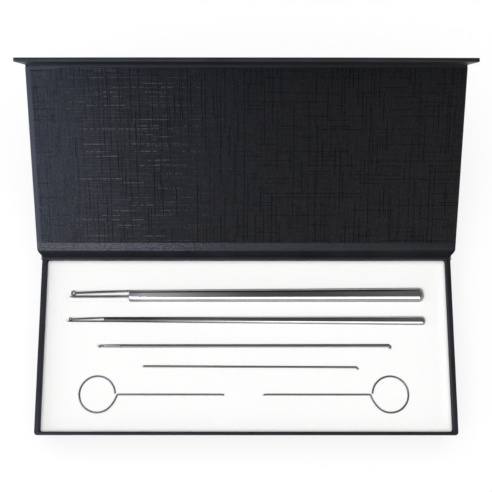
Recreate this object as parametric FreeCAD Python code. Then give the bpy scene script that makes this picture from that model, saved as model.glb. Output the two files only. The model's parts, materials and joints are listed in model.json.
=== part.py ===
import FreeCAD, Part
import math
import os

# Six polished steel ear picks in a book-style gift box: a shallow tray with a foam insert, held in a
# paper-wrapped board case whose lid hinges at the back and carries a magnetic flap for the front.
# Millimetres. Origin: middle of the tray's footprint, on the underside. +X right, +Y back, +Z up.

# Tray
tray_width = 210.0
tray_depth = 89.8
rim_height = 22.0  # underside of the case to the top of the tray's rim
side_board = 2.1
end_board = 1.3  # front and back walls
floor_board = 1.5
tray_corner = 1.6  # radius of the wrapped upright corners

# Case panels and papers
case_board = 1.5
paper = 0.2
lid_overhang = 2.75  # lid, flap and base past each side of the tray
panel_corner = 1.0
turn_in = 12.0  # cover paper folded over the inside of the base
spine_turn_in = 4.0
spine_drop = 0.5  # top of the spine below the rim
spine_mitre_height = 9.0

# Lid and flap
lid_gap = 0.35  # closed lid above the rim
lid_back_lap = 0.5  # closed lid past the spine's outer face
lid_open_angle = 153.4  # at rest, from closed
hinge_out = 1.22  # lid hinge line behind the spine's outer face
hinge_up = 0.18  # lid hinge line above the rim
flap_gap = 0.5  # closed flap in front of the tray
flap_floor_gap = 0.85  # closed flap's free edge above the underside
flap_open_angle = 7.4  # at rest, from closed
flap_hinge_inset = 0.4  # flap hinge line inside the panels' outer faces
lining_thickness = 0.3
lid_lining_hinge_margin = 3.3
lid_lining_flap_margin = 1.0
lid_lining_side_margin = 1.6
lid_lining_shift = 0.9  # the lining was pasted this far to the right
flap_lining_margin = 1.6
strip_thickness = 0.3  # doubled hinge paper

# Catch
magnet_diameter = 8.0
magnet_thickness = 1.1
catch_plate_diameter = 10.0
catch_plate_thickness = 0.8
catch_spacing = 120.0
catch_height = 11.0  # above the underside
pocket_gap = 0.05

# Foam insert
tool_headroom = 0.3  # rim above the thickest tool
pad_thickness = 6.0
foam_gap = 0.2  # foam to the tray's walls
pad_back_skew = 0.9  # the pad's back edge was cut this much out of square
groove_gap = 0.2

# Large pick
large_butt_diameter = 7.0
large_neck_diameter = 5.8
large_butt_x = 91.0
large_neck_x = -60.0
large_ring_x = -88.8
large_y = 25.3
large_turn = 0.24  # degrees, as it lies in its groove
large_butt_round = 2.5
large_prong_width = 0.62
large_prong_height = 1.6
large_front_prong_y = -0.27  # beside the rod's axis
large_ring_diameter = 2.45
large_ring_y = 1.44
large_lip_length = 2.3  # from the ring's centre

# Medium pick
medium_butt_diameter = 4.2
medium_neck_diameter = 2.4
medium_butt_x = 91.4
medium_neck_x = -72.7
medium_ring_x = -89.9
medium_y = 12.58
medium_turn = -0.2
medium_butt_round = 1.6
medium_prong_width = 0.47
medium_prong_height = 1.0
medium_ring_diameter = 1.75
medium_ring_y = -0.03
medium_lip_length = 1.9

prong_meets_ring = 12.0  # degrees round the ring, from its +X side

# Small pick
small_diameter = 1.5
small_tip_diameter = 0.9
small_nose_x = -61.0
small_tip_x = -74.0
small_hook_x = 72.0
small_y = -0.52
small_turn = 0.08
small_slot_width = 0.55
small_slot_length = 8.6
small_window_length = 1.7
small_web = 0.6
small_hook_inside = 0.25  # inner radius of the bend
small_hook_length = 0.3
small_scoop_length = 1.4
small_nose_room = 0.4  # extra room in the groove around the scoop

# Thin probe
thin_diameter = 0.95
thin_left_x = -52.4
thin_bend_x = 55.2
thin_y = -11.1
thin_turn = -0.25
thin_bend_inside = 0.5
thin_bend_angle = 45.0
thin_tip_length = 1.0
thin_cut_angle = 35.0

# Ring picks
wire_diameter = 0.8
ring_radius = 9.0  # to the middle of the wire
ring_free_angle = 3.0  # where the wire's free end stands, from the stem's side
ring_leave_angle = 42.0  # where the wire leaves the circle
lead_radius = 16.0
lead_angle = 22.0
neck_inside = 0.7  # inner radius of the wire's two small bends
stem_length = 51.6
stem_tip_bend = 8.0
stem_tip_length = 1.2
left_ring_x = -74.95
right_ring_x = 72.5
ring_y = -24.9

# Worked-out sizes
V = FreeCAD.Vector
panel_thickness = case_board + 2 * paper
side_wall = side_board + 2 * paper
end_wall = end_board + 2 * paper
case_width = tray_width + 2 * lid_overhang
half_width = tray_width / 2
half_depth = tray_depth / 2
base_top = panel_thickness
floor_top = base_top + floor_board
recess = large_butt_diameter / 2 + tool_headroom  # foam surface below the rim
foam_top = rim_height - recess
pad_bottom = foam_top - pad_thickness
spine_top = rim_height - spine_drop
spine_outer = half_depth + panel_thickness
lid_back = spine_outer + lid_back_lap
flap_inner = -half_depth - flap_gap
lid_length = lid_back - flap_inner
lid_inner = rim_height + lid_gap
flap_length = lid_inner - flap_floor_gap
hinge_y = spine_outer + hinge_out
hinge_z = rim_height + hinge_up
flap_hinge_inner = panel_thickness - flap_hinge_inset
flap_hinge_y = flap_inner - flap_hinge_inner
flap_hinge_z = lid_inner + flap_hinge_inner
small_hook_radius = small_diameter / 2 + small_hook_inside
thin_bend_radius = thin_diameter / 2 + thin_bend_inside
neck_radius = wire_diameter / 2 + neck_inside
cut_height = recess + 2.0  # how far groove cutters reach above the foam


def block(x0, x1, y0, y1, z0, z1):
    return Part.makeBox(x1 - x0, y1 - y0, z1 - z0, V(x0, y0, z0))


def round_uprights(shape, radius, keep=lambda x, y: True):
    """Fillets the edges along Z that keep(x, y) picks."""
    picked = []
    for edge in shape.Edges:
        a, b = edge.Vertexes[0].Point, edge.Vertexes[-1].Point
        upright = abs(a.x - b.x) < 1e-6 and abs(a.y - b.y) < 1e-6
        if upright and keep(a.x, a.y):
            picked.append(edge)
    return shape.makeFillet(radius, picked)


def prism_along_x(points, x0, x1):
    corners = [V(x0, y, z) for y, z in points]
    face = Part.Face(Part.makePolygon(corners + corners[:1]))
    return face.extrude(V(x1 - x0, 0, 0))


# Paper-wrapped panels. Each is built flat: width along X, length along +Y from its hinge edge at
# y = 0, inner face at z = 0 and outer face at z = panel_thickness.


def rectangle(width, length):
    return [(-width / 2, 0), (width / 2, 0), (width / 2, length), (-width / 2, length)]


def panel(outline, window):
    corners = [V(x, y, 0) for x, y in outline]
    face = Part.Face(Part.makePolygon(corners + corners[:1]))
    outer = round_uprights(face.extrude(V(0, 0, panel_thickness)), panel_corner)
    board = face.makeOffset2D(-paper).extrude(V(0, 0, case_board))
    board = round_uprights(board, panel_corner - paper)
    board.translate(V(0, 0, paper))
    x0, x1, y0, y1 = window
    cover = outer.cut(board).cut(block(x0, x1, y0, y1, 0, paper))
    return board, cover


def inset_window(width, length, margin):
    return -width / 2 + margin, width / 2 - margin, margin, length - margin


def lining(window):
    x0, x1, y0, y1 = window
    return block(x0, x1, y0, y1, paper - lining_thickness, paper)


def placed(shape, origin, axis, angle):
    shape = shape.copy()
    shape.Placement = FreeCAD.Placement(origin, FreeCAD.Rotation(axis, angle)).multiply(shape.Placement)
    return shape


def lay_base(shape):
    return placed(shape, V(0, -half_depth, panel_thickness), V(0, 1, 0), 180)


def stand_spine(shape):
    return placed(shape, V(0, half_depth, spine_top), V(1, 0, 0), -90)


def open_lid(shape):
    shape = shape.copy()
    shape.rotate(V(0, hinge_y, hinge_z), V(1, 0, 0), -lid_open_angle)
    return shape


def hang_lid(shape):
    return open_lid(placed(shape, V(0, lid_back, lid_inner), V(0, 0, 1), 180))


def open_flap(shape):
    shape = shape.copy()
    shape.rotate(V(0, flap_hinge_y, flap_hinge_z), V(1, 0, 0), -flap_open_angle)
    return shape


def hang_flap(shape):
    return open_lid(open_flap(placed(shape, V(0, flap_inner, lid_inner), V(0, 1, -1), 180)))


def discs(diameter, thickness, along, z):
    """A pair of discs, catch_spacing apart, on a panel built flat."""
    pair = [
        Part.makeCylinder(diameter / 2, thickness, V(side * catch_spacing / 2, along, z))
        for side in (-1, 1)
    ]
    return Part.makeCompound(pair)


def make_base():
    window = inset_window(case_width, tray_depth, turn_in)
    board, cover = panel(rectangle(case_width, tray_depth), window)
    return {"base_board": lay_base(board), "base_cover": lay_base(cover)}


def make_spine():
    # the upper corners slope in to the tray's width, so that the hinge can fold past the wider lid
    top, full = tray_width / 2, case_width / 2
    outline = [(-top, 0), (top, 0), (full, spine_mitre_height), (full, spine_top)]
    outline += [(-full, spine_top), (-full, spine_mitre_height)]
    window = -top + spine_turn_in, top - spine_turn_in, spine_turn_in, spine_top - spine_turn_in
    board, cover = panel(outline, window)
    return {"spine_board": stand_spine(board), "spine_cover": stand_spine(cover)}


def make_lid():
    half = case_width / 2 - lid_lining_side_margin
    # the panel is turned half round when it is hung, so right is -X here
    window = (
        -half - lid_lining_shift,
        half - lid_lining_shift,
        lid_lining_hinge_margin,
        lid_length - lid_lining_flap_margin,
    )
    board, cover = panel(rectangle(case_width, lid_length), window)
    return {
        "lid_board": hang_lid(board),
        "lid_cover": hang_lid(cover),
        "lid_lining": hang_lid(lining(window)),
    }


def make_flap():
    window = inset_window(case_width, flap_length, flap_lining_margin)
    board, cover = panel(rectangle(case_width, flap_length), window)
    along = lid_inner - catch_height
    pockets = discs(magnet_diameter + 2 * pocket_gap, magnet_thickness, along, paper)
    magnets = discs(magnet_diameter, magnet_thickness, along, paper)
    return {
        "flap_board": hang_flap(board.cut(pockets)),
        "flap_cover": hang_flap(cover),
        "flap_lining": hang_flap(lining(window)),
        "flap_magnets": hang_flap(magnets),
    }


def turned(point, centre, angle):
    """A (y, z) point turned about a centre, in degrees from +Y towards +Z."""
    y, z = point[0] - centre[0], point[1] - centre[1]
    c, s = math.cos(math.radians(angle)), math.sin(math.radians(angle))
    return centre[0] + c * y - s * z, centre[1] + s * y + c * z


def make_lid_hinge_strip():
    centre = (hinge_y, hinge_z)
    lid_corner = turned((lid_back, lid_inner), centre, -lid_open_angle)
    lid_edge = turned((lid_back, lid_inner + strip_thickness), centre, -lid_open_angle)
    slack = strip_thickness / 4
    points = [
        (spine_outer, spine_top),
        (lid_corner[0] - slack, lid_corner[1]),
        (lid_edge[0] - slack, lid_edge[1]),
        (spine_outer, spine_top - strip_thickness),
    ]
    strip = prism_along_x(points, -case_width / 2, case_width / 2)
    run = lid_edge[0] - spine_outer
    for side in (-1, 1):
        # the ends taper from the lid's width to the tray's
        corners = [
            V(side * half_width, spine_outer, 0),
            V(side * (case_width / 2 + 1), spine_outer, 0),
            V(side * (case_width / 2 + 1), spine_outer + run, 0),
            V(side * case_width / 2, spine_outer + run, 0),
        ]
        wedge = Part.Face(Part.makePolygon(corners + corners[:1])).extrude(V(0, 0, 2 * rim_height))
        strip = strip.cut(wedge)
    return strip


def make_flap_hinge_strip():
    centre = (flap_hinge_y, flap_hinge_z)
    lid_outer = (flap_inner, lid_inner + panel_thickness)
    lid_under = (flap_inner, lid_outer[1] - strip_thickness)
    flap_outer = turned((flap_inner - panel_thickness, lid_inner), centre, -flap_open_angle)
    inward = (flap_inner - panel_thickness + strip_thickness, lid_inner)
    flap_under = turned(inward, centre, -flap_open_angle)
    bulge = panel_thickness / math.sqrt(2)
    lean = math.radians(135 + flap_open_angle / 2)
    out = (math.cos(lean), math.sin(lean))
    middle = (flap_inner + out[0] * bulge, lid_inner + out[1] * bulge)
    under = (middle[0] - out[0] * strip_thickness, middle[1] - out[1] * strip_thickness)

    def at(point):
        return V(-case_width / 2, point[0], point[1])

    edges = [
        Part.Arc(at(lid_outer), at(middle), at(flap_outer)).toShape(),
        Part.makeLine(at(flap_outer), at(flap_under)),
        Part.Arc(at(flap_under), at(under), at(lid_under)).toShape(),
        Part.makeLine(at(lid_under), at(lid_outer)),
    ]
    return open_lid(Part.Face(Part.Wire(edges)).extrude(V(case_width, 0, 0)))


# Tray


def make_tray():
    x_in, y_in = half_width - side_wall, half_depth - end_wall
    x_board, y_board = half_width - paper, half_depth - paper
    board_top = rim_height - paper
    floor = block(-x_in - paper, x_in + paper, -y_in - paper, y_in + paper, base_top, floor_top)
    left = block(-x_board, -x_in - paper, -y_board, y_board, base_top, board_top)
    left = round_uprights(left, tray_corner - paper, lambda x, y: abs(x) > half_width - side_board)
    right = left.mirror(V(0, 0, 0), V(1, 0, 0))
    back = block(-x_in - paper, x_in + paper, y_in + paper, y_board, base_top, board_top)
    front = back.mirror(V(0, 0, 0), V(0, 1, 0))

    plates, pockets = [], []
    inner_face = -y_in - paper
    for side in (-1, 1):
        foot = V(side * catch_spacing / 2, inner_face, catch_height)
        plates.append(
            Part.makeCylinder(catch_plate_diameter / 2, catch_plate_thickness, foot, V(0, -1, 0))
        )
        pocket_radius = catch_plate_diameter / 2 + pocket_gap
        pockets.append(Part.makeCylinder(pocket_radius, catch_plate_thickness, foot, V(0, -1, 0)))
    front = front.cut(Part.makeCompound(pockets))

    outer = block(-half_width, half_width, -half_depth, half_depth, base_top, rim_height)
    outer = round_uprights(outer, tray_corner)
    boards = block(-x_board, x_board, -y_board, y_board, base_top, board_top)
    boards = round_uprights(boards, tray_corner - paper)
    gap_inside = block(-x_in - paper, x_in + paper, -y_in - paper, y_in + paper, base_top, board_top)
    cavity = block(-x_in, x_in, -y_in, y_in, base_top, rim_height)
    wrap = outer.cut(cavity).cut(boards.cut(gap_inside)).cut(floor)
    return {
        "tray_floor": floor,
        "tray_left_wall": left,
        "tray_right_wall": right,
        "tray_back_wall": back,
        "tray_front_wall": front,
        "tray_wrap": wrap,
        "catch_plates": Part.makeCompound(plates),
    }


# Tools. Each is built with its axis along X at z = 0 and set down with its axis level with the foam.


def set_down(shape, x, y, angle=0.0):
    return placed(shape, V(x, y, foam_top), V(0, 0, 1), angle)


def bent_path(start, heading, moves):
    """Joined lines and arcs in the XY plane. A move is (length, 0) or (radius, turn in degrees)."""
    edges = []
    point, angle = V(*start), heading
    for size, turn in moves:
        along = V(math.cos(math.radians(angle)), math.sin(math.radians(angle)), 0)
        if turn == 0:
            end = point + along * size
            edges.append(Part.makeLine(point, end))
        else:
            side = math.copysign(1, turn)
            centre = point + V(-along.y, along.x, 0) * size * side
            arm = point - centre
            turn_by = FreeCAD.Rotation(V(0, 0, 1), turn)
            half_turn = FreeCAD.Rotation(V(0, 0, 1), turn / 2)
            end = centre + turn_by.multVec(arm)
            edges.append(Part.Arc(point, centre + half_turn.multVec(arm), end).toShape())
        point, angle = end, angle + turn
    return Part.Wire(edges)


def profile_frame(start, heading):
    """Centre, sideways direction and forward direction of a section at a path's start."""
    a = math.radians(heading)
    return V(*start), V(-math.sin(a), math.cos(a), 0), V(math.cos(a), math.sin(a), 0)


def round_wire(start, heading, moves, diameter):
    centre, _, forward = profile_frame(start, heading)
    section = Part.Wire([Part.makeCircle(diameter / 2, centre, forward)])
    return bent_path(start, heading, moves).makePipeShell([section], True, False)


def wire_groove(start, heading, moves, diameter):
    """What a bent wire's groove takes out of the foam: round below the axis, straight above it."""
    _, side, forward = profile_frame(start, heading)
    centre = V(*start) - forward * groove_gap
    moves = [(groove_gap, 0)] + moves + [(groove_gap, 0)]
    reach = side * (diameter / 2 + groove_gap)
    down, up = V(0, 0, -diameter / 2 - groove_gap), V(0, 0, cut_height)
    section = Part.Wire(
        [
            Part.Arc(centre - reach, centre + down, centre + reach).toShape(),
            Part.makeLine(centre + reach, centre + reach + up),
            Part.makeLine(centre + reach + up, centre - reach + up),
            Part.makeLine(centre - reach + up, centre - reach),
        ]
    )
    return bent_path(centre, heading, moves).makePipeShell([section], True, False)


def turned_rod(butt_x, butt_diameter, neck_x, neck_diameter, butt_round, neck_round):
    """A tapered rod with a rounded butt at +X and a rounded shoulder at its neck."""
    big, small = butt_diameter / 2, neck_diameter / 2
    s = math.sin(math.radians(45))
    butt_mid = V(butt_x - butt_round * (1 - s), big - butt_round * (1 - s), 0)
    neck_mid = V(neck_x + neck_round * (1 - s), small - neck_round * (1 - s), 0)
    edges = [
        Part.makeLine(V(neck_x, 0, 0), V(butt_x, 0, 0)),
        Part.makeLine(V(butt_x, 0, 0), V(butt_x, big - butt_round, 0)),
        Part.Arc(V(butt_x, big - butt_round, 0), butt_mid, V(butt_x - butt_round, big, 0)).toShape(),
        Part.makeLine(V(butt_x - butt_round, big, 0), V(neck_x + neck_round, small, 0)),
        Part.Arc(V(neck_x + neck_round, small, 0), neck_mid, V(neck_x, small - neck_round, 0)).toShape(),
        Part.makeLine(V(neck_x, small - neck_round, 0), V(neck_x, 0, 0)),
    ]
    return Part.Face(Part.Wire(edges)).revolve(V(0, 0, 0), V(1, 0, 0), 360)


def rod_groove(butt_x, butt_diameter, neck_x, neck_diameter, tip_x):
    """A tapered groove for a rod, carried on at the neck's width to beyond its tip."""
    big, small = butt_diameter / 2 + groove_gap, neck_diameter / 2 + groove_gap
    butt, tip = butt_x + groove_gap, tip_x - groove_gap
    taper = Part.makeCone(small, big, butt - neck_x, V(neck_x, 0, 0), V(1, 0, 0))
    nose = Part.makeCylinder(small, neck_x - tip, V(tip, 0, 0), V(1, 0, 0))
    plan = [V(tip, -small, 0), V(neck_x, -small, 0), V(butt, -big, 0)]
    plan += [V(butt, big, 0), V(neck_x, small, 0), V(tip, small, 0)]
    opening = Part.Face(Part.makePolygon(plan + plan[:1])).extrude(V(0, 0, cut_height))
    return taper.fuse([nose, opening])


def prong(x0, y0, x1, y1, width, height):
    """A flat prong between two points, thin across and tall in Z."""
    length = math.hypot(x1 - x0, y1 - y0)
    bar = block(0, length, -width / 2, width / 2, -height / 2, height / 2)
    long_edges = [e for e in bar.Edges if abs(e.Length - length) < 1e-6]
    bar = bar.makeFillet(width * 0.4, long_edges)
    angle = math.degrees(math.atan2(y1 - y0, x1 - x0))
    return placed(bar, V(x0, y0, 0), V(0, 0, 1), angle)


def loop_tip(ring_x, ring_y, ring_diameter, wire, root_x, prong_ys, height, lip_length):
    """Two flat prongs. The back one ends on a small ring, and the front one runs on past the ring to a
    pointed lip, with a small scoop between them."""
    back_y, front_y = prong_ys
    ring_mid = (ring_diameter - wire) / 2
    meets = math.radians(prong_meets_ring)
    ring_side = ring_x + ring_mid * math.cos(meets), ring_y + ring_mid * math.sin(meets)
    ring = Part.makeTorus(ring_mid, wire / 2, V(ring_x, ring_y, 0), V(0, 0, 1))
    back = prong(root_x, back_y, ring_side[0], ring_side[1], wire, height)
    front = prong(root_x, front_y, ring_x, front_y, wire, height)
    ring_front = ring_y - ring_mid
    scoop_radius = abs(ring_front - front_y) / 2 + wire / 2
    scoop_middle = V(ring_x, (ring_front + front_y) / 2, -wire * 0.3)
    scoop = Part.makeCylinder(scoop_radius, wire * 0.6, scoop_middle)
    lip = Part.makeCone(wire * 0.6, wire * 0.2, lip_length, V(ring_x, front_y, 0), V(-1, 0, 0))
    level = wire * 0.4
    lip = lip.common(block(ring_x - 9, ring_x + 9, front_y - 9, front_y + 9, -level, level))
    return [ring, back, front, scoop, lip]


def make_large_pick():
    rod = turned_rod(
        large_butt_x, large_butt_diameter, large_neck_x, large_neck_diameter,
        large_butt_round, large_neck_diameter / 4,
    )
    edge = large_neck_diameter / 2 - large_prong_width / 2
    root = large_neck_x + large_neck_diameter / 4
    tip = loop_tip(
        large_ring_x, large_ring_y, large_ring_diameter, large_prong_width,
        root, (edge, large_front_prong_y), large_prong_height, large_lip_length,
    )
    return set_down(rod.fuse(tip).removeSplitter(), 0, large_y, large_turn)


def make_medium_pick():
    rod = turned_rod(
        medium_butt_x, medium_butt_diameter, medium_neck_x, medium_neck_diameter,
        medium_butt_round, medium_neck_diameter / 4,
    )
    edge = medium_neck_diameter / 2 - medium_prong_width / 2
    root = medium_neck_x + medium_neck_diameter / 2
    tip = loop_tip(
        medium_ring_x, medium_ring_y, medium_ring_diameter, medium_prong_width,
        root, (edge, -edge), medium_prong_height, medium_lip_length,
    )
    return set_down(rod.fuse(tip).removeSplitter(), 0, medium_y, medium_turn)


def small_moves():
    run = small_hook_x - small_nose_x
    return [(run, 0), (small_hook_radius, -90), (small_hook_length, 0)]


def make_small_pick():
    shaft = round_wire((small_nose_x, 0, 0), 0, small_moves(), small_diameter)
    nose_length = small_nose_x - small_tip_x
    nose = Part.makeCone(
        small_tip_diameter / 2, small_diameter / 2, nose_length, V(small_tip_x, 0, 0), V(1, 0, 0)
    )
    half = small_slot_width / 2
    window_end = small_nose_x - small_web
    slot_end = window_end - small_window_length - small_web
    window = block(window_end - small_window_length, window_end, -half, half, -9, 9)
    slot = block(slot_end - small_slot_length, slot_end, -half, half, -9, 9)
    nose = nose.cut(window).cut(slot)
    scoop = Part.makeCylinder(small_tip_diameter * 0.75, small_scoop_length, V(0, 0, 0), V(1, 0, 0))
    hollow = Part.makeCylinder(small_tip_diameter * 0.5, small_scoop_length, V(0, 0, 0.35), V(1, 0, 0))
    scoop = scoop.cut(hollow).common(block(-9, 9, -9, 9, -9, 0.05))
    scoop = placed(scoop, V(small_tip_x + 0.25, 0, 0), V(0, 0, 1), 205)
    return set_down(shaft.fuse([nose, scoop]).removeSplitter(), 0, small_y, small_turn)


def thin_moves():
    run = thin_bend_x - thin_left_x
    return [(run, 0), (thin_bend_radius, -thin_bend_angle), (thin_tip_length, 0)]


def make_thin_probe():
    wire = round_wire((thin_left_x, 0, 0), 0, thin_moves(), thin_diameter)
    chisel = block(-9, 0, -9, 9, -9, 9)
    chisel.rotate(V(0, 0, 0), V(0, 0, 1), -thin_cut_angle)
    reach = thin_diameter / 2 * math.tan(math.radians(thin_cut_angle))
    chisel.translate(V(thin_left_x + reach, 0, 0))
    return set_down(wire.cut(chisel), 0, thin_y, thin_turn)


def ring_start():
    a = math.radians(ring_free_angle)
    return (ring_radius * math.cos(a), ring_radius * math.sin(a), 0), 90 + ring_free_angle


def ring_moves():
    return [
        (ring_radius, 360 - ring_leave_angle - ring_free_angle),
        (lead_radius, lead_angle),
        (neck_radius, ring_leave_angle - lead_angle - 90),
        (stem_length, 0),
        (neck_radius, -stem_tip_bend),
        (stem_tip_length, 0),
    ]


def place_ring_tool(shape, mirrored):
    if mirrored:
        return set_down(shape.mirror(V(0, 0, 0), V(1, 0, 0)), right_ring_x, ring_y)
    return set_down(shape, left_ring_x, ring_y)


def make_ring_pick(mirrored):
    start, heading = ring_start()
    return place_ring_tool(round_wire(start, heading, ring_moves(), wire_diameter), mirrored)


# Foam insert


def groove_cutters():
    start, heading = ring_start()
    ring = wire_groove(start, heading, ring_moves(), wire_diameter)
    large_tip = large_ring_x - large_lip_length
    medium_tip = medium_ring_x - medium_lip_length
    large = rod_groove(
        large_butt_x, large_butt_diameter, large_neck_x, large_neck_diameter, large_tip
    )
    medium = rod_groove(
        medium_butt_x, medium_butt_diameter, medium_neck_x, medium_neck_diameter, medium_tip
    )
    small = wire_groove((small_nose_x, 0, 0), 0, small_moves(), small_diameter)
    small_end = small_tip_x - small_scoop_length
    nose_width = small_diameter + 2 * small_nose_room
    small_nose = wire_groove((small_end, 0, 0), 0, [(small_nose_x - small_end, 0)], nose_width)
    thin = wire_groove((thin_left_x, 0, 0), 0, thin_moves(), thin_diameter)
    return [
        set_down(large, 0, large_y, large_turn),
        set_down(medium, 0, medium_y, medium_turn),
        set_down(small, 0, small_y, small_turn),
        set_down(small_nose, 0, small_y, small_turn),
        set_down(thin, 0, thin_y, thin_turn),
        place_ring_tool(ring, False),
        place_ring_tool(ring, True),
    ]


def make_foam():
    x = half_width - side_wall - foam_gap
    y = half_depth - end_wall - foam_gap
    corners = [V(-x, -y, 0), V(x, -y, 0), V(x, y - pad_back_skew, 0), V(-x, y, 0)]
    pad = Part.Face(Part.makePolygon(corners + corners[:1])).extrude(V(0, 0, pad_thickness))
    pad.translate(V(0, 0, pad_bottom))
    for cutter in groove_cutters():
        pad = pad.cut(cutter)
    return {"foam_pad": pad, "foam_backing": block(-x, x, -y, y, floor_top, pad_bottom)}


def make_tools():
    return {
        "large_pick": make_large_pick(),
        "medium_pick": make_medium_pick(),
        "small_pick": make_small_pick(),
        "thin_probe": make_thin_probe(),
        "left_ring_pick": make_ring_pick(False),
        "right_ring_pick": make_ring_pick(True),
    }


def main():
    nodes = {}
    for group in (make_base(), make_spine(), make_tray(), make_foam(), make_lid(), make_flap()):
        nodes.update(group)
    nodes["lid_hinge_strip"] = make_lid_hinge_strip()
    nodes["flap_hinge_strip"] = make_flap_hinge_strip()
    nodes.update(make_tools())
    os.makedirs("parts", exist_ok=True)
    for name, shape in nodes.items():
        valid = shape.isValid() and all(solid.Volume > 0 for solid in shape.Solids)
        if not valid or not shape.Solids:
            raise RuntimeError(name + " is not a sound solid")
        shape.exportStep("parts/" + name + ".step")
        print(name, len(shape.Solids), round(shape.Volume, 2))


main()
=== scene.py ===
import json
import math
import bmesh
import bpy
from mathutils import Matrix, Vector, noise


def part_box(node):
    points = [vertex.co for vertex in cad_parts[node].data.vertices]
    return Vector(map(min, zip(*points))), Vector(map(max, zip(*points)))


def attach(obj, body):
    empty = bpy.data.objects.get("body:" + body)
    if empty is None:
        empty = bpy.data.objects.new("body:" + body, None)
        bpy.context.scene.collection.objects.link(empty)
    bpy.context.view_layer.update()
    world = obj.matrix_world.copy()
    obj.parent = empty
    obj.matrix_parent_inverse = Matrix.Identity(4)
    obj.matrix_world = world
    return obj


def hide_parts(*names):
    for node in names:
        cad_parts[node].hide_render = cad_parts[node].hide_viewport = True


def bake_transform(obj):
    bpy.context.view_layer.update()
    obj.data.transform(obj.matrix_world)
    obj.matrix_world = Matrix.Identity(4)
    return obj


# Six polished steel ear picks in a black paper-covered gift box, open.
# Lengths in this script are millimetres; mm turns them into Blender's metres.
mm = 0.001
noise.seed_set(5)  # noise_vector draws its offsets at random, from the clock unless it is seeded

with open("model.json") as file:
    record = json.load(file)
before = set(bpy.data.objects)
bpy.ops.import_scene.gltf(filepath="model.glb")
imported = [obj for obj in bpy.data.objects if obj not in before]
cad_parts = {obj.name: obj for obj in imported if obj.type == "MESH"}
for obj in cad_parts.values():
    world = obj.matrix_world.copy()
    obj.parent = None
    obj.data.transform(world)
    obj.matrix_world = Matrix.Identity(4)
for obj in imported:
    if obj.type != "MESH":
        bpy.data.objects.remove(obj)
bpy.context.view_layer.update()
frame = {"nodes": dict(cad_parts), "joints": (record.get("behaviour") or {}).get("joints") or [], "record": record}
print("frame loaded:", len(frame["nodes"]), "nodes")


# places read from the frame

def nodeBox(name):
    low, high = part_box(name)
    return low / mm, high / mm


def turnAbout(joint, degrees):
    point = Vector(joint["pos_m"])
    turn = Matrix.Rotation(math.radians(degrees), 4, Vector(joint["axis"]))
    return Matrix.Translation(point) @ turn @ Matrix.Translation(-point)


def shutBox(name, shut):
    # a node's box with its body turned by the matrix shut
    points = [shut @ v.co for v in frame["nodes"][name].data.vertices]
    low = [min(p[i] for p in points) / mm for i in range(3)]
    high = [max(p[i] for p in points) / mm for i in range(3)]
    return Vector(low), Vector(high)


def standing(x, y, z, degrees):
    # takes what was built along x to the point (x, y, z), turned about the vertical
    return Matrix.Translation(Vector((x, y, z)) * mm) @ Matrix.Rotation(math.radians(degrees), 4, "Z")


joints = {joint["name"]: joint for joint in frame["joints"]}
lidShut = turnAbout(joints["lid_hinge"], joints["lid_hinge"]["range_deg"][0])
flapShut = lidShut @ turnAbout(joints["flap_hinge"], joints["flap_hinge"]["range_deg"][0])
lidOpen = lidShut.inverted()
flapOpen = flapShut.inverted()
asBuilt = Matrix.Identity(4)


# mesh tools

def quarter(steps):
    # (1 - sine, 1 - cosine) round a quarter turn, for rounded edges
    turns = [math.pi / 2 * k / steps for k in range(steps + 1)]
    return [(1 - math.sin(a), 1 - math.cos(a)) for a in turns]


def circle(radius, count):
    turns = [2 * math.pi * k / count for k in range(count)]
    return [(radius * math.cos(a), radius * math.sin(a)) for a in turns]


def facing(angle):
    return Vector((math.cos(angle), math.sin(angle)))


def oblong(x0, x1, y0, y1):
    return [(x0, y0), (x1, y0), (x1, y1), (x0, y1)]


def softOutline(corners, radius, inset, parts, arcSteps=5):
    # a convex anticlockwise outline with rounded corners, drawn inset inside itself;
    # each straight edge is divided into its number of parts
    arcs = []
    for i, corner in enumerate(corners):
        here = Vector(corner)
        back = (Vector(corners[i - 1]) - here).normalized()
        ahead = (Vector(corners[(i + 1) % len(corners)]) - here).normalized()
        half = back.angle(ahead) / 2
        centre = here + (back + ahead).normalized() * (radius / math.sin(half))
        start = math.atan2(back.x, -back.y)
        sweep = (math.atan2(-ahead.x, ahead.y) - start) % (2 * math.pi)
        turns = [start + sweep * k / arcSteps for k in range(arcSteps + 1)]
        arcs.append([centre + facing(a) * (radius - inset) for a in turns])
    points = []
    for i, arc in enumerate(arcs):
        end = arcs[(i + 1) % len(arcs)][0]
        points += arc + [arc[-1].lerp(end, k / parts[i]) for k in range(1, parts[i])]
    return points


def atHeight(outline, z):
    return [(p.x, p.y, z) for p in outline]


def edgeParts(corners, run):
    # how many parts each edge has when a part is about run long
    lengths = [(Vector(b) - Vector(a)).length for a, b in zip(corners, corners[1:] + corners[:1])]
    return [max(1, round(length / run)) for length in lengths]


def loft(loops, cap=True):
    # a mesh through closed loops of equal length, its two ends filled
    shape = bmesh.new()
    rows = [[shape.verts.new(Vector(p) * mm) for p in loop] for loop in loops]
    count = len(loops[0])
    for a, b in zip(rows, rows[1:]):
        for k in range(count):
            shape.faces.new((a[k], a[(k + 1) % count], b[(k + 1) % count], b[k]))
    if cap:
        shape.faces.new(rows[0][::-1])
        shape.faces.new(rows[-1])
    bmesh.ops.recalc_face_normals(shape, faces=shape.faces)
    return shape


def sheetGrid(columns, rows, pointAt, order=(0, 1, 2, 3)):
    # an open sheet through pointAt(column, row); order is how each face goes round its corners
    shape = bmesh.new()
    grid = []
    for r in range(rows + 1):
        grid.append([shape.verts.new(Vector(pointAt(c, r)) * mm) for c in range(columns + 1)])
    for a, b in zip(grid, grid[1:]):
        for c in range(columns):
            corners = (a[c], a[c + 1], b[c + 1], b[c])
            shape.faces.new([corners[i] for i in order])
    return shape


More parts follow.
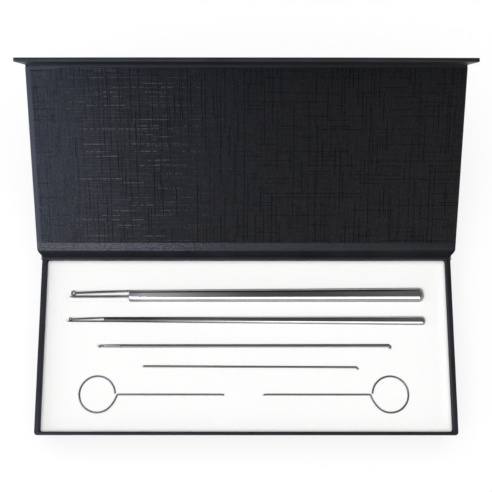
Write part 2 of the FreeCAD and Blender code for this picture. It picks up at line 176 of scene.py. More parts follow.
def asObject(name, shape):
    mesh = bpy.data.meshes.new(name)
    shape.to_mesh(mesh)
    shape.free()
    thing = bpy.data.objects.new(name, mesh)
    bpy.context.scene.collection.objects.link(thing)
    return thing


def addPiece(name, shape, finish, body, replaced=(), place=asBuilt, sharp=0):
    # finish names its material; edges that turn by more than sharp degrees stay sharp, and with 0 the piece
    # is smooth all over
    piece = asObject(name, shape)
    for face in piece.data.polygons:
        face.use_smooth = True
    if sharp:
        piece.data.set_sharp_from_angle(angle=math.radians(sharp))
    piece.data.materials.append(materials[finish])
    piece.matrix_world = place
    if replaced:
        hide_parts(*replaced)
    if body:
        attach(piece, body)
    return piece


def refinish(piece, finish, where):
    # gives the faces that where() picks out another material
    piece.data.materials.append(materials[finish])
    for face in piece.data.polygons:
        if where(face):
            face.material_index = 1


def smooth(value, start, end):
    t = min(1.0, max(0.0, (value - start) / (end - start)))
    return t * t * (3 - 2 * t)


def sway(x, y, z, size, amount, seed=0.0):
    # a smooth, repeatable offset: amount is its reach and size its wavelength
    return noise.noise_vector(Vector((x / size + seed, y / size, z / size))) * amount


# material tools

def linear(code):
    values = [int(code[i:i + 2], 16) / 255 for i in (1, 3, 5)]
    return tuple(v / 12.92 if v <= 0.04045 else ((v + 0.055) / 1.055) ** 2.4 for v in values) + (1.0,)


def add(tree, kind, inputs=(), out=0, **settings):
    # adds a node with its settings and links, and gives back one of its outputs; inputs are values or the
    # outputs that feed them, in the node's own order or by socket in a dictionary
    node = tree.nodes.new("ShaderNode" + kind)
    for key, value in settings.items():
        setattr(node, key, value)
    pairs = inputs.items() if isinstance(inputs, dict) else enumerate(inputs)
    for key, value in pairs:
        if isinstance(value, bpy.types.NodeSocket):
            tree.links.new(value, node.inputs[key])
        else:
            node.inputs[key].default_value = value
    return node.outputs[out]


def newMaterial(name, **fixed):
    # fixed are the shader's values that are the same all over
    material = bpy.data.materials.new(name)
    material.use_nodes = True
    shader = material.node_tree.nodes["Principled BSDF"]
    for key, value in fixed.items():
        shader.inputs[key.replace("_", " ")].default_value = value
    return material


def feed(material, **outputs):
    # joins outputs of the material's nodes to its shader
    tree = material.node_tree
    for key, value in outputs.items():
        tree.links.new(value, tree.nodes["Principled BSDF"].inputs[key.replace("_", " ")])
    return material


def inSteps(tree, x, y=None, z=None):
    # the piece's own coordinates, counted in steps of x, y and z millimetres
    steps = [1 / (size * mm) for size in (x, y or x, z or y or x)]
    here = add(tree, "TexCoord", out="Object")
    return add(tree, "VectorMath", (here, steps), operation="MULTIPLY")


sheetEnd = 106.0  # how far the lid's lining and margin reach from the middle

# laminated cover paper: black, calendered and film-coated, so it has a soft satin shine; its rounded edges are
# painted lighter and duller, partly as rubbed wear and partly as a painted highlight, and it loses its shine where
# it was creased or pressed home
coverPaper = {"colour": "#0F1013", "rubbedAndSheen": "#2E3138", "paintedCrestHighlight": "#5C5E66", "roughness": 0.46,
              "gloss": 0.36, "creasedGloss": 0.1, "wearAndSheenRadius": 0.5, "cloud": 22.0, "fibre": 3.0,
              "grain": 0.45,  # real paper's grain is finer, and is drawn this coarse to show
              "ruckLength": 1.6, "ruckWidth": 0.6, "ruckDepth": 0.7}


def makeCoverPaper(name, gloss, ruckDepth=0.0):
    paper = coverPaper
    material = newMaterial(name, IOR=1.45, Specular_IOR_Level=gloss)
    tree = material.node_tree
    grain, cloud, fibre = [
        add(tree, "TexNoise", {"Vector": inSteps(tree, paper[key]), "Scale": 1.0, "Detail": detail})
        for key, detail in (("grain", 3.0), ("cloud", 3.0), ("fibre", 5.0))]
    # lighter where the rounded edge leans away from the flat face, in patches along it: partly rubbed wear, partly
    # a painted highlight on the edge
    soft = add(tree, "Bevel", {"Radius": paper["wearAndSheenRadius"] * mm}, samples=4)
    flat = add(tree, "NewGeometry", out="Normal")
    bend = add(tree, "VectorMath", (soft, flat), "Value", operation="DOT_PRODUCT")
    wornAndSheenEdge = add(tree, "MapRange", (bend, 0.995, 0.90))
    patches = add(tree, "MapRange", (fibre, 0.42, 0.62))
    wornAndSheenEdge = add(tree, "Math", (wornAndSheenEdge, patches), operation="MULTIPLY", use_clamp=True)
    black, rubbedAndSheen = linear(paper["colour"]), linear(paper["rubbedAndSheen"])
    pale = add(tree, "MapRange", (cloud, 0.3, 0.7, 0.0, 0.22))
    tone = add(tree, "Mix", {0: pale, 6: black, 7: rubbedAndSheen}, 2, data_type="RGBA")
    tone = add(tree, "Mix", {0: wornAndSheenEdge, 6: tone, 7: rubbedAndSheen}, 2, data_type="RGBA")
    rough = add(tree, "MapRange", (cloud, 0.3, 0.7, paper["roughness"] - 0.05, paper["roughness"] + 0.05))
    rough = add(tree, "Math", (wornAndSheenEdge, 0.15, rough), operation="MULTIPLY_ADD")
    height = add(tree, "Math", (fibre, 1.5, grain), operation="MULTIPLY_ADD")
    bump = add(tree, "Bump", {"Strength": 0.35, "Distance": 0.02 * mm, "Height": height})
    if ruckDepth:
        # fine rucks, strongest at the left-hand end where the paper was rubbed down last; the ruck crests are
        # painted lighter, a painted highlight that is strongest at that end too
        rucks = add(tree, "TexNoise", {"Vector": inSteps(tree, paper["ruckLength"], paper["ruckWidth"]),
                                       "Scale": 1.0, "Detail": 4.0, "Roughness": 0.65})
        across = add(tree, "SeparateXYZ", (inSteps(tree, 1.0),))
        strength = add(tree, "MapRange", (across, 20.0, -70.0, 0.35, 1.0))
        rucks = add(tree, "Math", (rucks, strength), operation="MULTIPLY")
        # painted highlight: the ruck crests are painted lighter
        paintedCrestHighlight = add(tree, "MapRange", (rucks, 0.3, 0.62))
        paintedCrestHighlight = add(tree, "Math", (paintedCrestHighlight, 0.9), operation="MULTIPLY", use_clamp=True)
        tone = add(tree, "Mix", {0: paintedCrestHighlight, 6: tone, 7: linear(paper["paintedCrestHighlight"])}, 2, data_type="RGBA")
        bump = add(tree, "Bump", {"Strength": 1.0, "Distance": ruckDepth * mm, "Height": rucks,
                                  "Normal": bump})
        gloss = add(tree, "MapRange", (across, 0.0, sheetEnd, gloss, gloss * 0.5))
        feed(material, Specular_IOR_Level=gloss)
    return feed(material, Base_Color=tone, Roughness=rough, Normal=bump)


# embossed lining paper: black art paper pressed with a loose weave of long threads; cross ribs stand up and
# upright lines are pressed in; the ribs' glints are painted highlights, and the dark of the pressed lines is
# painted shade
liningPaper = {"colour": "#0C0C0D", "paintedGlintAndSpeck": "#54504D", "groove": "#030303", "roughness": 0.42,
               "gloss": 0.155, "endGloss": 0.1, "drift": 40.0, "bead": 1.1, "grain": 0.9,
               "weave": 0.62, "fibre": 0.35,  # both are finer in real paper, and are this coarse to show
               # threads: spacing, length, half width, share of the length that shows, seed
               "lines": (2.1, 16.0, 0.22, 0.58, 3.0), "faintLines": (0.861, 8.0, 0.17, 0.55, 11.0),
               "ribs": (2.3, 12.0, 0.2, 0.5, 23.0), "faintRibs": (0.943, 8.4, 0.17, 0.55, 41.0)}


def threadField(tree, across, along, threads):
    # broken parallel lines: one at a random place in each spacing, shown along a share of its length
    spacing, length, width, share, seed = threads
    count = add(tree, "Math", (across, spacing), operation="DIVIDE")
    lane = add(tree, "Math", (count,), operation="FLOOR")
    inside = add(tree, "Math", (count,), operation="FRACT")
    number = add(tree, "Math", (lane, seed), operation="ADD")
    chance = add(tree, "TexWhiteNoise", {"W": number}, noise_dimensions="1D")
    place = add(tree, "Math", (chance, 0.7, 0.15), operation="MULTIPLY_ADD")
    off = add(tree, "Math", (inside, place), operation="SUBTRACT")
    off = add(tree, "Math", (off,), operation="ABSOLUTE")
    off = add(tree, "Math", (off, spacing), operation="MULTIPLY")
    line = add(tree, "MapRange", (off, width, width * 0.35))
    run = add(tree, "Math", (along, length), operation="DIVIDE")
    run = add(tree, "Math", (chance, 37.0, run), operation="MULTIPLY_ADD")
    stretch = add(tree, "Math", (run,), operation="FLOOR")
    both = add(tree, "CombineXYZ", (lane, stretch, seed))
    there = add(tree, "TexWhiteNoise", {"Vector": both}, noise_dimensions="3D")
    shown = add(tree, "MapRange", (there, 1.0 - share, 1.0 - share + 0.25))
    # the ends fade within a twentieth of the length
    part = add(tree, "Math", (run,), operation="FRACT")
    ends = add(tree, "Math", (add(tree, "MapRange", (part, 0.0, 0.05)),
                              add(tree, "MapRange", (part, 1.0, 0.95))), operation="MULTIPLY")
    line = add(tree, "Math", (line, shown), operation="MULTIPLY")
    return add(tree, "Math", (line, ends), operation="MULTIPLY", use_clamp=True)


def makeLiningPaper():
    paper = liningPaper
    material = newMaterial("embossedLiningPaper", IOR=1.45, Specular_IOR_Level=paper["gloss"])
    tree = material.node_tree
    drift, grain, fibre, beads = [
        add(tree, "TexNoise", {"Vector": inSteps(tree, *sizes), "Scale": 1.0, "Detail": detail})
        for sizes, detail in (((paper["drift"],), 1.0), ((paper["grain"],), 2.0), ((paper["fibre"],), 3.0),
                              ((paper["bead"], 3.0), 1.0))]
    across, along = [add(tree, "SeparateXYZ", (inSteps(tree, 1.0),), axis) for axis in (0, 1)]
    x = add(tree, "Math", (drift, 1.2, across), operation="MULTIPLY_ADD")
    y = add(tree, "Math", (drift, -1.2, along), operation="MULTIPLY_ADD")
    lines = threadField(tree, x, y, paper["lines"])
    fade = add(tree, "MapRange", (across, -sheetEnd, -55.0, 0.3, 1.0))
    lines = add(tree, "Math", (lines, fade), operation="MULTIPLY")
    faintLines = threadField(tree, x, y, paper["faintLines"])
    ribs = threadField(tree, y, x, paper["ribs"])
    faintRibs = threadField(tree, y, x, paper["faintRibs"])
    # painted highlight: a rib is painted light towards the left-hand end of the sheet, broken up where upright
    # threads cross it, and towards the other end it is painted dark instead, as painted shade on its unlit side
    paintedGlintShare = add(tree, "Math", (add(tree, "MapRange", (across, 5.0, -45.0)),
                              add(tree, "MapRange", (across, -104.0, -78.0, 0.1, 1.0))), operation="MULTIPLY")
    paintedShadeRibs = add(tree, "MapRange", (paintedGlintShare, 1.0, 0.4))
    paintedShadeRibs = add(tree, "Math", (ribs, paintedShadeRibs), operation="MULTIPLY")
    for values in ((beads, 0.4, 0.52), (lines, 0.0, 1.0, 1.0, 0.3)):
        gaps = add(tree, "MapRange", values)
        ribs = add(tree, "Math", (ribs, gaps), operation="MULTIPLY", use_clamp=True)
    paintedGlint = add(tree, "Math", (ribs, paintedGlintShare), operation="MULTIPLY")
    faintPaintedGlint = add(tree, "Math", (paintedGlintShare, 0.22), operation="MULTIPLY")
    light = add(tree, "Math", (faintRibs, faintPaintedGlint, paintedGlint), operation="MULTIPLY_ADD", use_clamp=True)
    specks = add(tree, "MapRange", (grain, 0.48, 0.34, 0.0, 0.05))
    light = add(tree, "Math", (light, specks), operation="ADD", use_clamp=True)
    # painted shade: the pressed lines, the faint lines and the ribs' unlit sides are painted dark towards the
    # groove colour, over a random grain
    dark = add(tree, "MapRange", (grain, 0.5, 0.66, 0.0, 0.2))
    faintPaintedShade = add(tree, "MapRange", (paintedGlintShare, 0.0, 1.0, 0.25, 0.0))
    for pattern, share in ((lines, 0.8), (faintLines, 0.35), (paintedShadeRibs, 0.72), (faintRibs, faintPaintedShade)):
        dark = add(tree, "Math", (pattern, share, dark), operation="MULTIPLY_ADD", use_clamp=True)
    black, paintedGlintAndSpeck, groove = (linear(paper[key]) for key in ("colour", "paintedGlintAndSpeck", "groove"))
    tone = add(tree, "Mix", {0: light, 6: black, 7: paintedGlintAndSpeck}, 2, data_type="RGBA")
    tone = add(tree, "Mix", {0: dark, 6: tone, 7: groove}, 2, data_type="RGBA")
    # the sheet's left-hand end was rubbed smoother as it was pasted down
    endGloss = paper["gloss"] + paper["endGloss"]
    gloss = add(tree, "MapRange", (across, -50.0, -sheetEnd, paper["gloss"], endGloss))
    extra = add(tree, "MapRange", (across, 40.0, sheetEnd, 0.0, 0.05))
    gloss = add(tree, "Math", (gloss, extra), operation="ADD")
    matt = add(tree, "MapRange", (dark, 0.0, 1.0, 1.0, 0.15))
    gloss = add(tree, "Math", (gloss, matt), operation="MULTIPLY")
    rough = add(tree, "MapRange", (fibre, 0.3, 0.7, paper["roughness"] - 0.04, paper["roughness"] + 0.06))
    rough = add(tree, "Math", (dark, 0.25, rough), operation="MULTIPLY_ADD")
    weaves = [add(tree, "TexWave", {"Vector": inSteps(tree, *sizes), "Scale": 1.0, "Distortion": 0.4}, "Fac",
                  bands_direction=axis)
              for axis, sizes in (("X", (paper["weave"] * 2, 1e6)), ("Y", (1e6, paper["weave"] * 2, 1e6)))]
    weave = add(tree, "Math", weaves, operation="MULTIPLY")
    height = 0.0
    for pattern, rise in ((faintRibs, 0.3), (ribs, 0.5), (lines, -0.5), (faintLines, -0.3), (weave, 0.22),
                          (fibre, 0.18)):
        height = add(tree, "Math", (pattern, rise, height), operation="MULTIPLY_ADD")
    bump = add(tree, "Bump", {"Strength": 0.7, "Distance": 0.07 * mm, "Height": height})
    return feed(material, Base_Color=tone, Specular_IOR_Level=gloss, Roughness=rough, Normal=bump)


# grey board: pressed recycled pulp, so it is dull and speckled
greyBoard = {"colour": "#8C867B", "fleck": "#5F5A52", "roughness": 0.9, "fibre": 0.6}


def makeGreyBoard():
    board = greyBoard
    material = newMaterial("greyBoard", Roughness=board["roughness"])
    tree = material.node_tree
    pulp = add(tree, "TexNoise", {"Vector": inSteps(tree, board["fibre"]), "Scale": 1.0, "Detail": 6.0,
                                  "Roughness": 0.6})
    flecks = add(tree, "MapRange", (pulp, 0.45, 0.62))
    tone = add(tree, "Mix", {0: flecks, 6: linear(board["colour"]), 7: linear(board["fleck"])}, 2,
               data_type="RGBA")
    bump = add(tree, "Bump", {"Strength": 0.4, "Distance": 0.05 * mm, "Height": pulp})
    return feed(material, Base_Color=tone, Normal=bump)


# cross-linked polyethylene foam, knife-cut: white, dull, with fine closed cells
whiteFoam = {"colour": "#F6F6F5", "cell": "#E9E9E8", "roughness": 0.85,
             "cellSize": 0.45}  # real cells are about 0.2 mm, and are drawn this coarse to show


def makeWhiteFoam():
    material = newMaterial("polyethyleneFoam", Roughness=whiteFoam["roughness"], IOR=1.35,
                           Specular_IOR_Level=0.3)
    tree = material.node_tree
    cells = add(tree, "TexVoronoi", {"Vector": inSteps(tree, whiteFoam["cellSize"]), "Scale": 1.0})
    wall = add(tree, "MapRange", (cells, 0.15, 0.6))
    share = add(tree, "Math", (wall, 0.35), operation="MULTIPLY")
    tone = add(tree, "Mix", {0: share, 6: linear(whiteFoam["colour"]), 7: linear(whiteFoam["cell"])}, 2,
               data_type="RGBA")
    bump = add(tree, "Bump", {"Strength": 0.35, "Distance": 0.05 * mm, "Height": wall}, invert=True)
    return feed(material, Base_Color=tone, Normal=bump)


# stainless steel, turned and polished along its length: mirror-bright with fine draw lines; the thin tools
# are left as cold-drawn wire, darker and duller. Real draw lines are too fine to show, and are drawn coarser.
polishedSteel = {"colour": "#BEBDBC", "cloud": "#AEADAC", "roughness": 0.12, "drawLength": 14.0,
                 "drawWidth": 0.12}
drawnWire = {"colour": "#7E7D7B", "cloud": "#737270", "roughness": 0.38, "drawLength": 5.0, "drawWidth": 0.1}
satinLarge = {"colour": "#676665", "roughness": 0.38, "satinUpTo": -68.0, "polishedFrom": -52.0}
satinMedium = {"colour": "#4E4D4C", "roughness": 0.28, "satinUpTo": -50.0, "polishedFrom": 12.0}
steelEdge = "#404040"  # tints the steel where it is seen at a grazing angle


def makeSteel(name, steel, satin=None):
    material = newMaterial(name, Metallic=1.0, Specular_Tint=linear(steelEdge))
    tree = material.node_tree
    lines = add(tree, "TexNoise", {"Vector": inSteps(tree, steel["drawLength"], steel["drawWidth"]),
                                   "Scale": 1.0, "Detail": 3.0})
    cloud = add(tree, "TexNoise", {"Vector": inSteps(tree, 30.0, 6.0), "Scale": 1.0, "Detail": 2.0})
    cloud = add(tree, "MapRange", (cloud, 0.35, 0.65))
    tone = add(tree, "Mix", {0: cloud, 6: linear(steel["colour"]), 7: linear(steel["cloud"])}, 2,
               data_type="RGBA")
    rough = add(tree, "MapRange", (lines, 0.3, 0.7, steel["roughness"] - 0.03, steel["roughness"] + 0.05))
    if satin:
        # the slender end was left satin from the belt; the polish comes in along the rod
        across = add(tree, "SeparateXYZ", (inSteps(tree, 1.0),))
        share = add(tree, "MapRange", (across, satin["polishedFrom"], satin["satinUpTo"]))
        tone = add(tree, "Mix", {0: share, 6: tone, 7: linear(satin["colour"])}, 2, data_type="RGBA")
        duller = satin["roughness"] - steel["roughness"]
        rough = add(tree, "Math", (share, duller, rough), operation="MULTIPLY_ADD")
    bump = add(tree, "Bump", {"Strength": 0.15, "Distance": 0.004 * mm, "Height": lines})
    return feed(material, Base_Color=tone, Roughness=rough, Normal=bump)


# plated metal for the hidden catch, faintly stained: bright nickel on the magnets, greyer zinc on the pressed
# steel discs
nickel = {"colour": "#B9B4AA", "stain": "#9C968B", "roughness": 0.25, "stainSize": 1.6}
zinc = {"colour": "#A9ADB0", "stain": "#8D9194", "roughness": 0.38, "stainSize": 1.6}


def makePlatedMetal(name, plate):
    material = newMaterial(name, Metallic=1.0)
    tree = material.node_tree
    cloud = add(tree, "TexNoise", {"Vector": inSteps(tree, plate["stainSize"]), "Scale": 1.0, "Detail": 4.0})
    stain = add(tree, "MapRange", (cloud, 0.4, 0.65))
    tone = add(tree, "Mix", {0: stain, 6: linear(plate["colour"]), 7: linear(plate["stain"])}, 2,
               data_type="RGBA")
    rough = add(tree, "MapRange", (cloud, 0.3, 0.7, plate["roughness"] - 0.05, plate["roughness"] + 0.08))
    return feed(material, Base_Color=tone, Roughness=rough)


materials = {
    "black_cover_paper": makeCoverPaper("laminatedCoverPaper", coverPaper["gloss"]),
    "creasedPaper": makeCoverPaper("creasedCoverPaper", coverPaper["creasedGloss"]),
    "crinkledPaper": makeCoverPaper("crinkledCoverPaper", coverPaper["gloss"], coverPaper["ruckDepth"]),
    "black_lining_paper": makeLiningPaper(),
    "grey_board": makeGreyBoard(),
    "white_foam": makeWhiteFoam(),
    "polished_steel": makeSteel("polishedStainlessSteel", polishedSteel),
    "largeSteel": makeSteel("polishedSteelWithSatinNose", polishedSteel, satinLarge),
    "mediumSteel": makeSteel("polishedSteelWithSatinShaft", polishedSteel, satinMedium),
    "drawnWire": makeSteel("drawnStainlessWire", drawnWire),
    "magnet_nickel": makePlatedMetal("nickelPlate", nickel),
    "catch_steel": makePlatedMetal("zincPlatedSteel", zinc),
}
for part in frame["record"]["subparts"]:
    nodeObject = frame["nodes"][part["node"]]
    nodeObject.data.materials.clear()
    nodeObject.data.materials.append(materials[part["material_slot"]])
print("materials made:", len(materials))


# paper-wrapped panels: the paper turns tightly over the board's edges, with a slight hand-made sway
wrap = {"corner": 1.0, "edge": 0.38, "flat": 0.5, "run": 2.0, "sway": 0.05, "swaySize": 14.0}


def panelLoops(corners, thickness):
    # (across, along, depth) loops from the inner face's rim round the edge to the outer face's
    parts = edgeParts(corners, wrap["run"])
    edge, rim = wrap["edge"], wrap["edge"] + wrap["flat"]
    profile = [(rim, 0.0)]
    profile += [(edge * s, edge * c) for s, c in quarter(4)]
    profile += [(edge * c, thickness - edge * s) for s, c in quarter(4)]
    profile += [(rim, thickness)]
    return [atHeight(softOutline(corners, wrap["corner"], inset, parts), depth) for inset, depth in profile]


def addPanel(name, corners, thickness, toPlace, body, node, place=asBuilt, seed=0.0):
    # toPlace turns (across, along, depth) into the frame's directions, with the panel shut
    loops = []
    for loop in panelLoops(corners, thickness):
        moved = []
        for u, v, w in loop:
            # only ever inward, so that the panel keeps its size
            shift = sway(u, v, w, wrap["swaySize"], wrap["sway"], seed)
            moved.append(toPlace(u - math.copysign(shift.x, u), v, w))
        loops.append(moved)
    return addPiece(name, loft(loops), "black_cover_paper", body, [node], place=place)


low, high = nodeBox("base_cover")
addPanel("base_paper", oblong(low.x, high.x, low.y, high.y), high.z - low.z,
         lambda u, v, w: (u, v, high.z - w), "case", "base_cover", seed=1.0)

spineLow, spineHigh = nodeBox("spine_cover")
trayLow, trayHigh = nodeBox("tray_wrap")
mitreHeight = 9.0  # the spine's upper corners slope in to the tray's width over this height
mitreFrom = spineHigh.z - mitreHeight
spineCorners = [(spineLow.x, spineLow.z), (spineHigh.x, spineLow.z), (spineHigh.x, mitreFrom),
                (trayHigh.x, spineHigh.z), (trayLow.x, spineHigh.z), (spineLow.x, mitreFrom)]
spine = addPanel("spine_paper", spineCorners, spineHigh.y - spineLow.y,
                 lambda u, v, w: (u, spineLow.y + w, v), "case", "spine_cover", seed=2.0)
# its upper edge was creased together with the hinge, and lost its shine
refinish(spine, "creasedPaper", lambda face: face.normal.z > 0.5)

lidLow, lidHigh = shutBox("lid_cover", lidShut)
addPanel("lid_paper", oblong(lidLow.x, lidHigh.x, lidLow.y, lidHigh.y), lidHigh.z - lidLow.z,
         lambda u, v, w: (u, v, lidLow.z + w), "lid", "lid_cover", lidOpen, seed=3.0)

# the flap's board has bowed a little: the ends of its free edge lean in
flapBow = {"left": 0.12, "right": 0.16, "straightTo": 40.0, "power": 1.5}
flapLow, flapHigh = shutBox("flap_cover", flapShut)


def flapPlace(x, y, z):
    end = flapBow["right"] if x > 0 else flapBow["left"]
    reach = max(0.0, abs(x) - flapBow["straightTo"]) / (flapHigh.x - flapBow["straightTo"])
    free = (flapHigh.z - z) / (flapHigh.z - flapLow.z)
    return x, y + end * reach ** flapBow["power"] * free, z


addPanel("flap_paper", oblong(flapLow.x, flapHigh.x, flapLow.z, flapHigh.z), flapHigh.y - flapLow.y,
         lambda u, v, w: flapPlace(u, flapHigh.y - w, v), "flap", "flap_cover", flapOpen, seed=4.0)
print("panels made")


# lining sheets: embossed paper pasted inside the lid, and cover paper inside the flap
lining = {"step": 1.0, "ripple": 0.03, "rippleSize": 7.0, "thickness": 0.14, "under": 0.12,
          # at the left of its edge by the flap the lid's sheet was pasted a little short, and stands up
          "setBack": 1.1, "setBackLength": 7.0, "setBackRise": 12.0, "lift": 0.13, "liftReach": 1.6}


def addLining(name, low, high, toPlace, body, node, place, setBack, finish):
    # low and high are the sheet's (across, along) corners; toPlace takes a height above its bed too
    columns = round((high[0] - low[0]) / lining["step"])
    rows = round((high[1] - low[1]) / lining["step"])
    backTo = lining["setBackLength"] + lining["setBackRise"]

    def pointAt(c, r):
        u = low[0] + (high[0] - low[0]) * c / columns
        back = setBack * (1 - smooth(u - low[0], lining["setBackLength"], backTo))
        start = low[1] + back
        v = start + (high[1] - start) * (r / rows)
        share = back / setBack if setBack else 0
        lift = lining["lift"] * share * math.exp(-((v - start) / lining["liftReach"]) ** 2)
        return toPlace(u, v, sway(u, v, 0, lining["rippleSize"], lining["ripple"], 5.0).z + lift)

    shape = sheetGrid(columns, rows, pointAt)
    border = [e for e in shape.edges if e.is_boundary]
    skirt = bmesh.ops.extrude_edge_only(shape, edges=border)["geom"]
    down = Vector(toPlace(0, 0, -lining["under"])) - Vector(toPlace(0, 0, 0))
    bmesh.ops.translate(shape, verts=[g for g in skirt if isinstance(g, bmesh.types.BMVert)], vec=down * mm)
    bmesh.ops.recalc_face_normals(shape, faces=shape.faces)
    addPiece(name, shape, finish, body, [node], place=place, sharp=50)


low, high = shutBox("lid_lining", lidShut)
lidBed = lidLow.z - lining["thickness"] + lining["ripple"]
addLining("lid_lining_sheet", (low.x, low.y), (high.x, high.y), lambda u, v, h: (u, v, lidBed - h),
          "lid", "lid_lining", lidOpen, lining["setBack"], "black_lining_paper")
low, high = shutBox("flap_lining", flapShut)
flapBed = high.y - lining["ripple"]
addLining("flap_lining_sheet", (low.x, low.z), (high.x, high.z), lambda u, v, h: flapPlace(u, flapBed + h, v),
          "flap", "flap_lining", flapOpen, 0.0, "black_cover_paper")


# the hinge's inner paper, pasted on to the lid below the lining: it is rucked where it was rubbed down, most
# at the left, where its end stands up
marginStrip = {"under": 0.6, "clear": 0.35, "step": 0.4, "rows": 12, "height": 0.05, "highest": 0.3,
               "edgeBelow": 0.1, "ruck": 0.5, "ruckSize": (1.4, 0.9), "fineSize": (0.8, 2.5),
               "fineShare": 0.6, "leastRucked": 0.3, "ruckedUpTo": 10.0, "calmAfter": 34.0,
               "endLength": 3.4, "endHeight": 0.22}


def makeMarginStrip():
    strip = marginStrip
    bed = shutBox("lid_lining", lidShut)[1].y
    left, right = lidLow.x + strip["clear"], lidHigh.x - strip["clear"]
    near, far = bed - strip["under"], lidHigh.y - strip["clear"]
    columns, rows = round((right - left) / strip["step"]), strip["rows"]

    def pointAt(c, r):
        x = left + (right - left) * c / columns
        y = near + (far - near) * r / rows
        away = y - bed
        calm = smooth(x - left, strip["ruckedUpTo"], strip["calmAfter"])
        amount = strip["leastRucked"] + (1 - strip["leastRucked"]) * (1 - calm)
        amount *= (1 - 0.85 * smooth(away, 0.5, 1.8)) * smooth(away, 0.0, 0.25)
        coarse, fine = [abs(noise.noise(Vector((x / across, y / along, seed))))
                        for (across, along), seed in ((strip["ruckSize"], 3.7), (strip["fineSize"], 9.1))]
        ruck = strip["ruck"] * amount * (coarse + strip["fineShare"] * fine)
        end = (1 - smooth(x - left, 0.0, strip["endLength"])) * strip["endHeight"]
        end *= 1 - abs(2 * r / rows - 0.7)
        height = min(strip["highest"], strip["height"] + ruck + max(0.0, end))
        if r in (0, rows) or c in (0, columns):
            height = -strip["edgeBelow"]
        return x, y, lidLow.z - height

    shape = sheetGrid(columns, rows, pointAt, order=(0, 3, 2, 1))
    # its crinkled paper carries painted highlights on the ruck crests
    addPiece("lid_margin_paper", shape, "crinkledPaper", "lid", place=lidOpen)


makeMarginStrip()
print("linings made")


# tray wrap: paper over the rims of the walls, mitred at the corners
tray = {"corner": 1.6, "inner": 0.35, "rim": 0.45, "flat": 0.15, "foamGap": 0.2, "run": 2.0, "sway": 0.05,
        "swaySize": 11.0}


def makeTrayWrap():
    floorTop = nodeBox("tray_floor")[1].z
    foamLow, foamHigh = nodeBox("foam_backing")
    gap, rim, top = tray["foamGap"], tray["rim"], trayHigh.z
    outer = oblong(trayLow.x, trayHigh.x, trayLow.y, trayHigh.y)
    inner = oblong(foamLow.x - gap, foamHigh.x + gap, foamLow.y - gap, foamHigh.y + gap)
    parts = edgeParts(outer, tray["run"])
    # (outside, inset, height) up the outer side, over the rim and down the inner side
    profile = [(True, 0.0, trayLow.z), (True, 0.0, (trayLow.z + top) / 2), (True, 0.0, top - rim)]
    profile += [(True, rim * c, top - rim * s) for s, c in quarter(4)[1:]]
    profile += [(True, rim + tray["flat"], top), (False, -rim - tray["flat"], top)]
    profile += [(False, -rim * c, top - rim * s) for s, c in reversed(quarter(4))]
    profile += [(False, 0.0, (top + floorTop) / 2), (False, 0.0, floorTop)]
    loops = []
    for outside, inset, z in profile:
        corners, radius = (outer, tray["corner"]) if outside else (inner, tray["inner"])
        loop = []
        for x, y in softOutline(corners, radius, inset, parts):
            shift = sway(x, y, z, tray["swaySize"], tray["sway"], 9.0)
            if outside:
                # only ever inward, so that the tray keeps its size
                x -= math.copysign(shift.x, x)
                y -= math.copysign(shift.y, y)
            loop.append((x, y, z - (abs(shift.z) if z > top - 1 else 0)))
        loops.append(loop)
    piece = addPiece("tray_paper", loft(loops, cap=False), "black_cover_paper", "case", ["tray_wrap"])

    def facesIn(face):
        normal, centre = face.normal.xy, face.center.xy
        return -normal.dot(centre) > 0.5 * centre.length * normal.length and abs(face.normal.z) < 0.5

    # inside the walls the paper was pressed home with a tool, and it is duller
    refinish(piece, "creasedPaper", facesIn)


makeTrayWrap()
print("tray made")


# paths and sweeps that the tools and their grooves share

def planPath(start, heading, moves, step=0.25, bend=6.0):
    # points and headings along joined lines and arcs; a move is (length, 0) or (radius, turn in degrees)
    point, angle = Vector(start), math.radians(heading)
    path = [(point.copy(), angle)]
    for size, turn in moves:
        if turn == 0:
            count = max(1, math.ceil(size / step))
            for k in range(1, count + 1):
                path.append((point + facing(angle) * (size * k / count), angle))
        else:
            side = math.copysign(1, turn)
            centre = point + Vector((-math.sin(angle), math.cos(angle))) * (size * side)
            count = max(2, math.ceil(abs(turn) / bend))
            for k in range(1, count + 1):
                a = angle + math.radians(turn) * k / count
                path.append((centre - Vector((-math.sin(a), math.cos(a))) * (size * side), a))
        point, angle = path[-1][0].copy(), path[-1][1]
    return path


def sweepLoops(path, section, level, mirror=False):
    # section(k) gives (side, height) points for the path's point k
    loops = []
    for k, (point, angle) in enumerate(path):
        loop = []
        for side, height in section(k):
            x, y = point.x - math.sin(angle) * side, point.y + math.cos(angle) * side
            loop.append((-x if mirror else x, y, level + height))
        loops.append(loop)
    return loops


def joinInto(shape, other):
    mesh = bpy.data.meshes.new("part")
    other.to_mesh(mesh)
    other.free()
    shape.from_mesh(mesh)
    bpy.data.meshes.remove(mesh)


def carve(shape, cutters):
    # the shape with each cutter's solid taken out of it
    things = [asObject("carve%d" % index, part) for index, part in enumerate([shape] + cutters)]
    for cutter in things[1:]:
        step = things[0].modifiers.new("cut", "BOOLEAN")
        step.operation, step.solver, step.object = "DIFFERENCE", "EXACT", cutter
    bpy.context.view_layer.update()
    carved = bmesh.new()
    carved.from_mesh(things[0].evaluated_get(bpy.context.evaluated_depsgraph_get()).to_mesh())
    for thing in things:
        mesh = thing.data
        bpy.data.objects.remove(thing)
        bpy.data.meshes.remove(mesh)
    return carved


# where the tools lie, read from their nodes

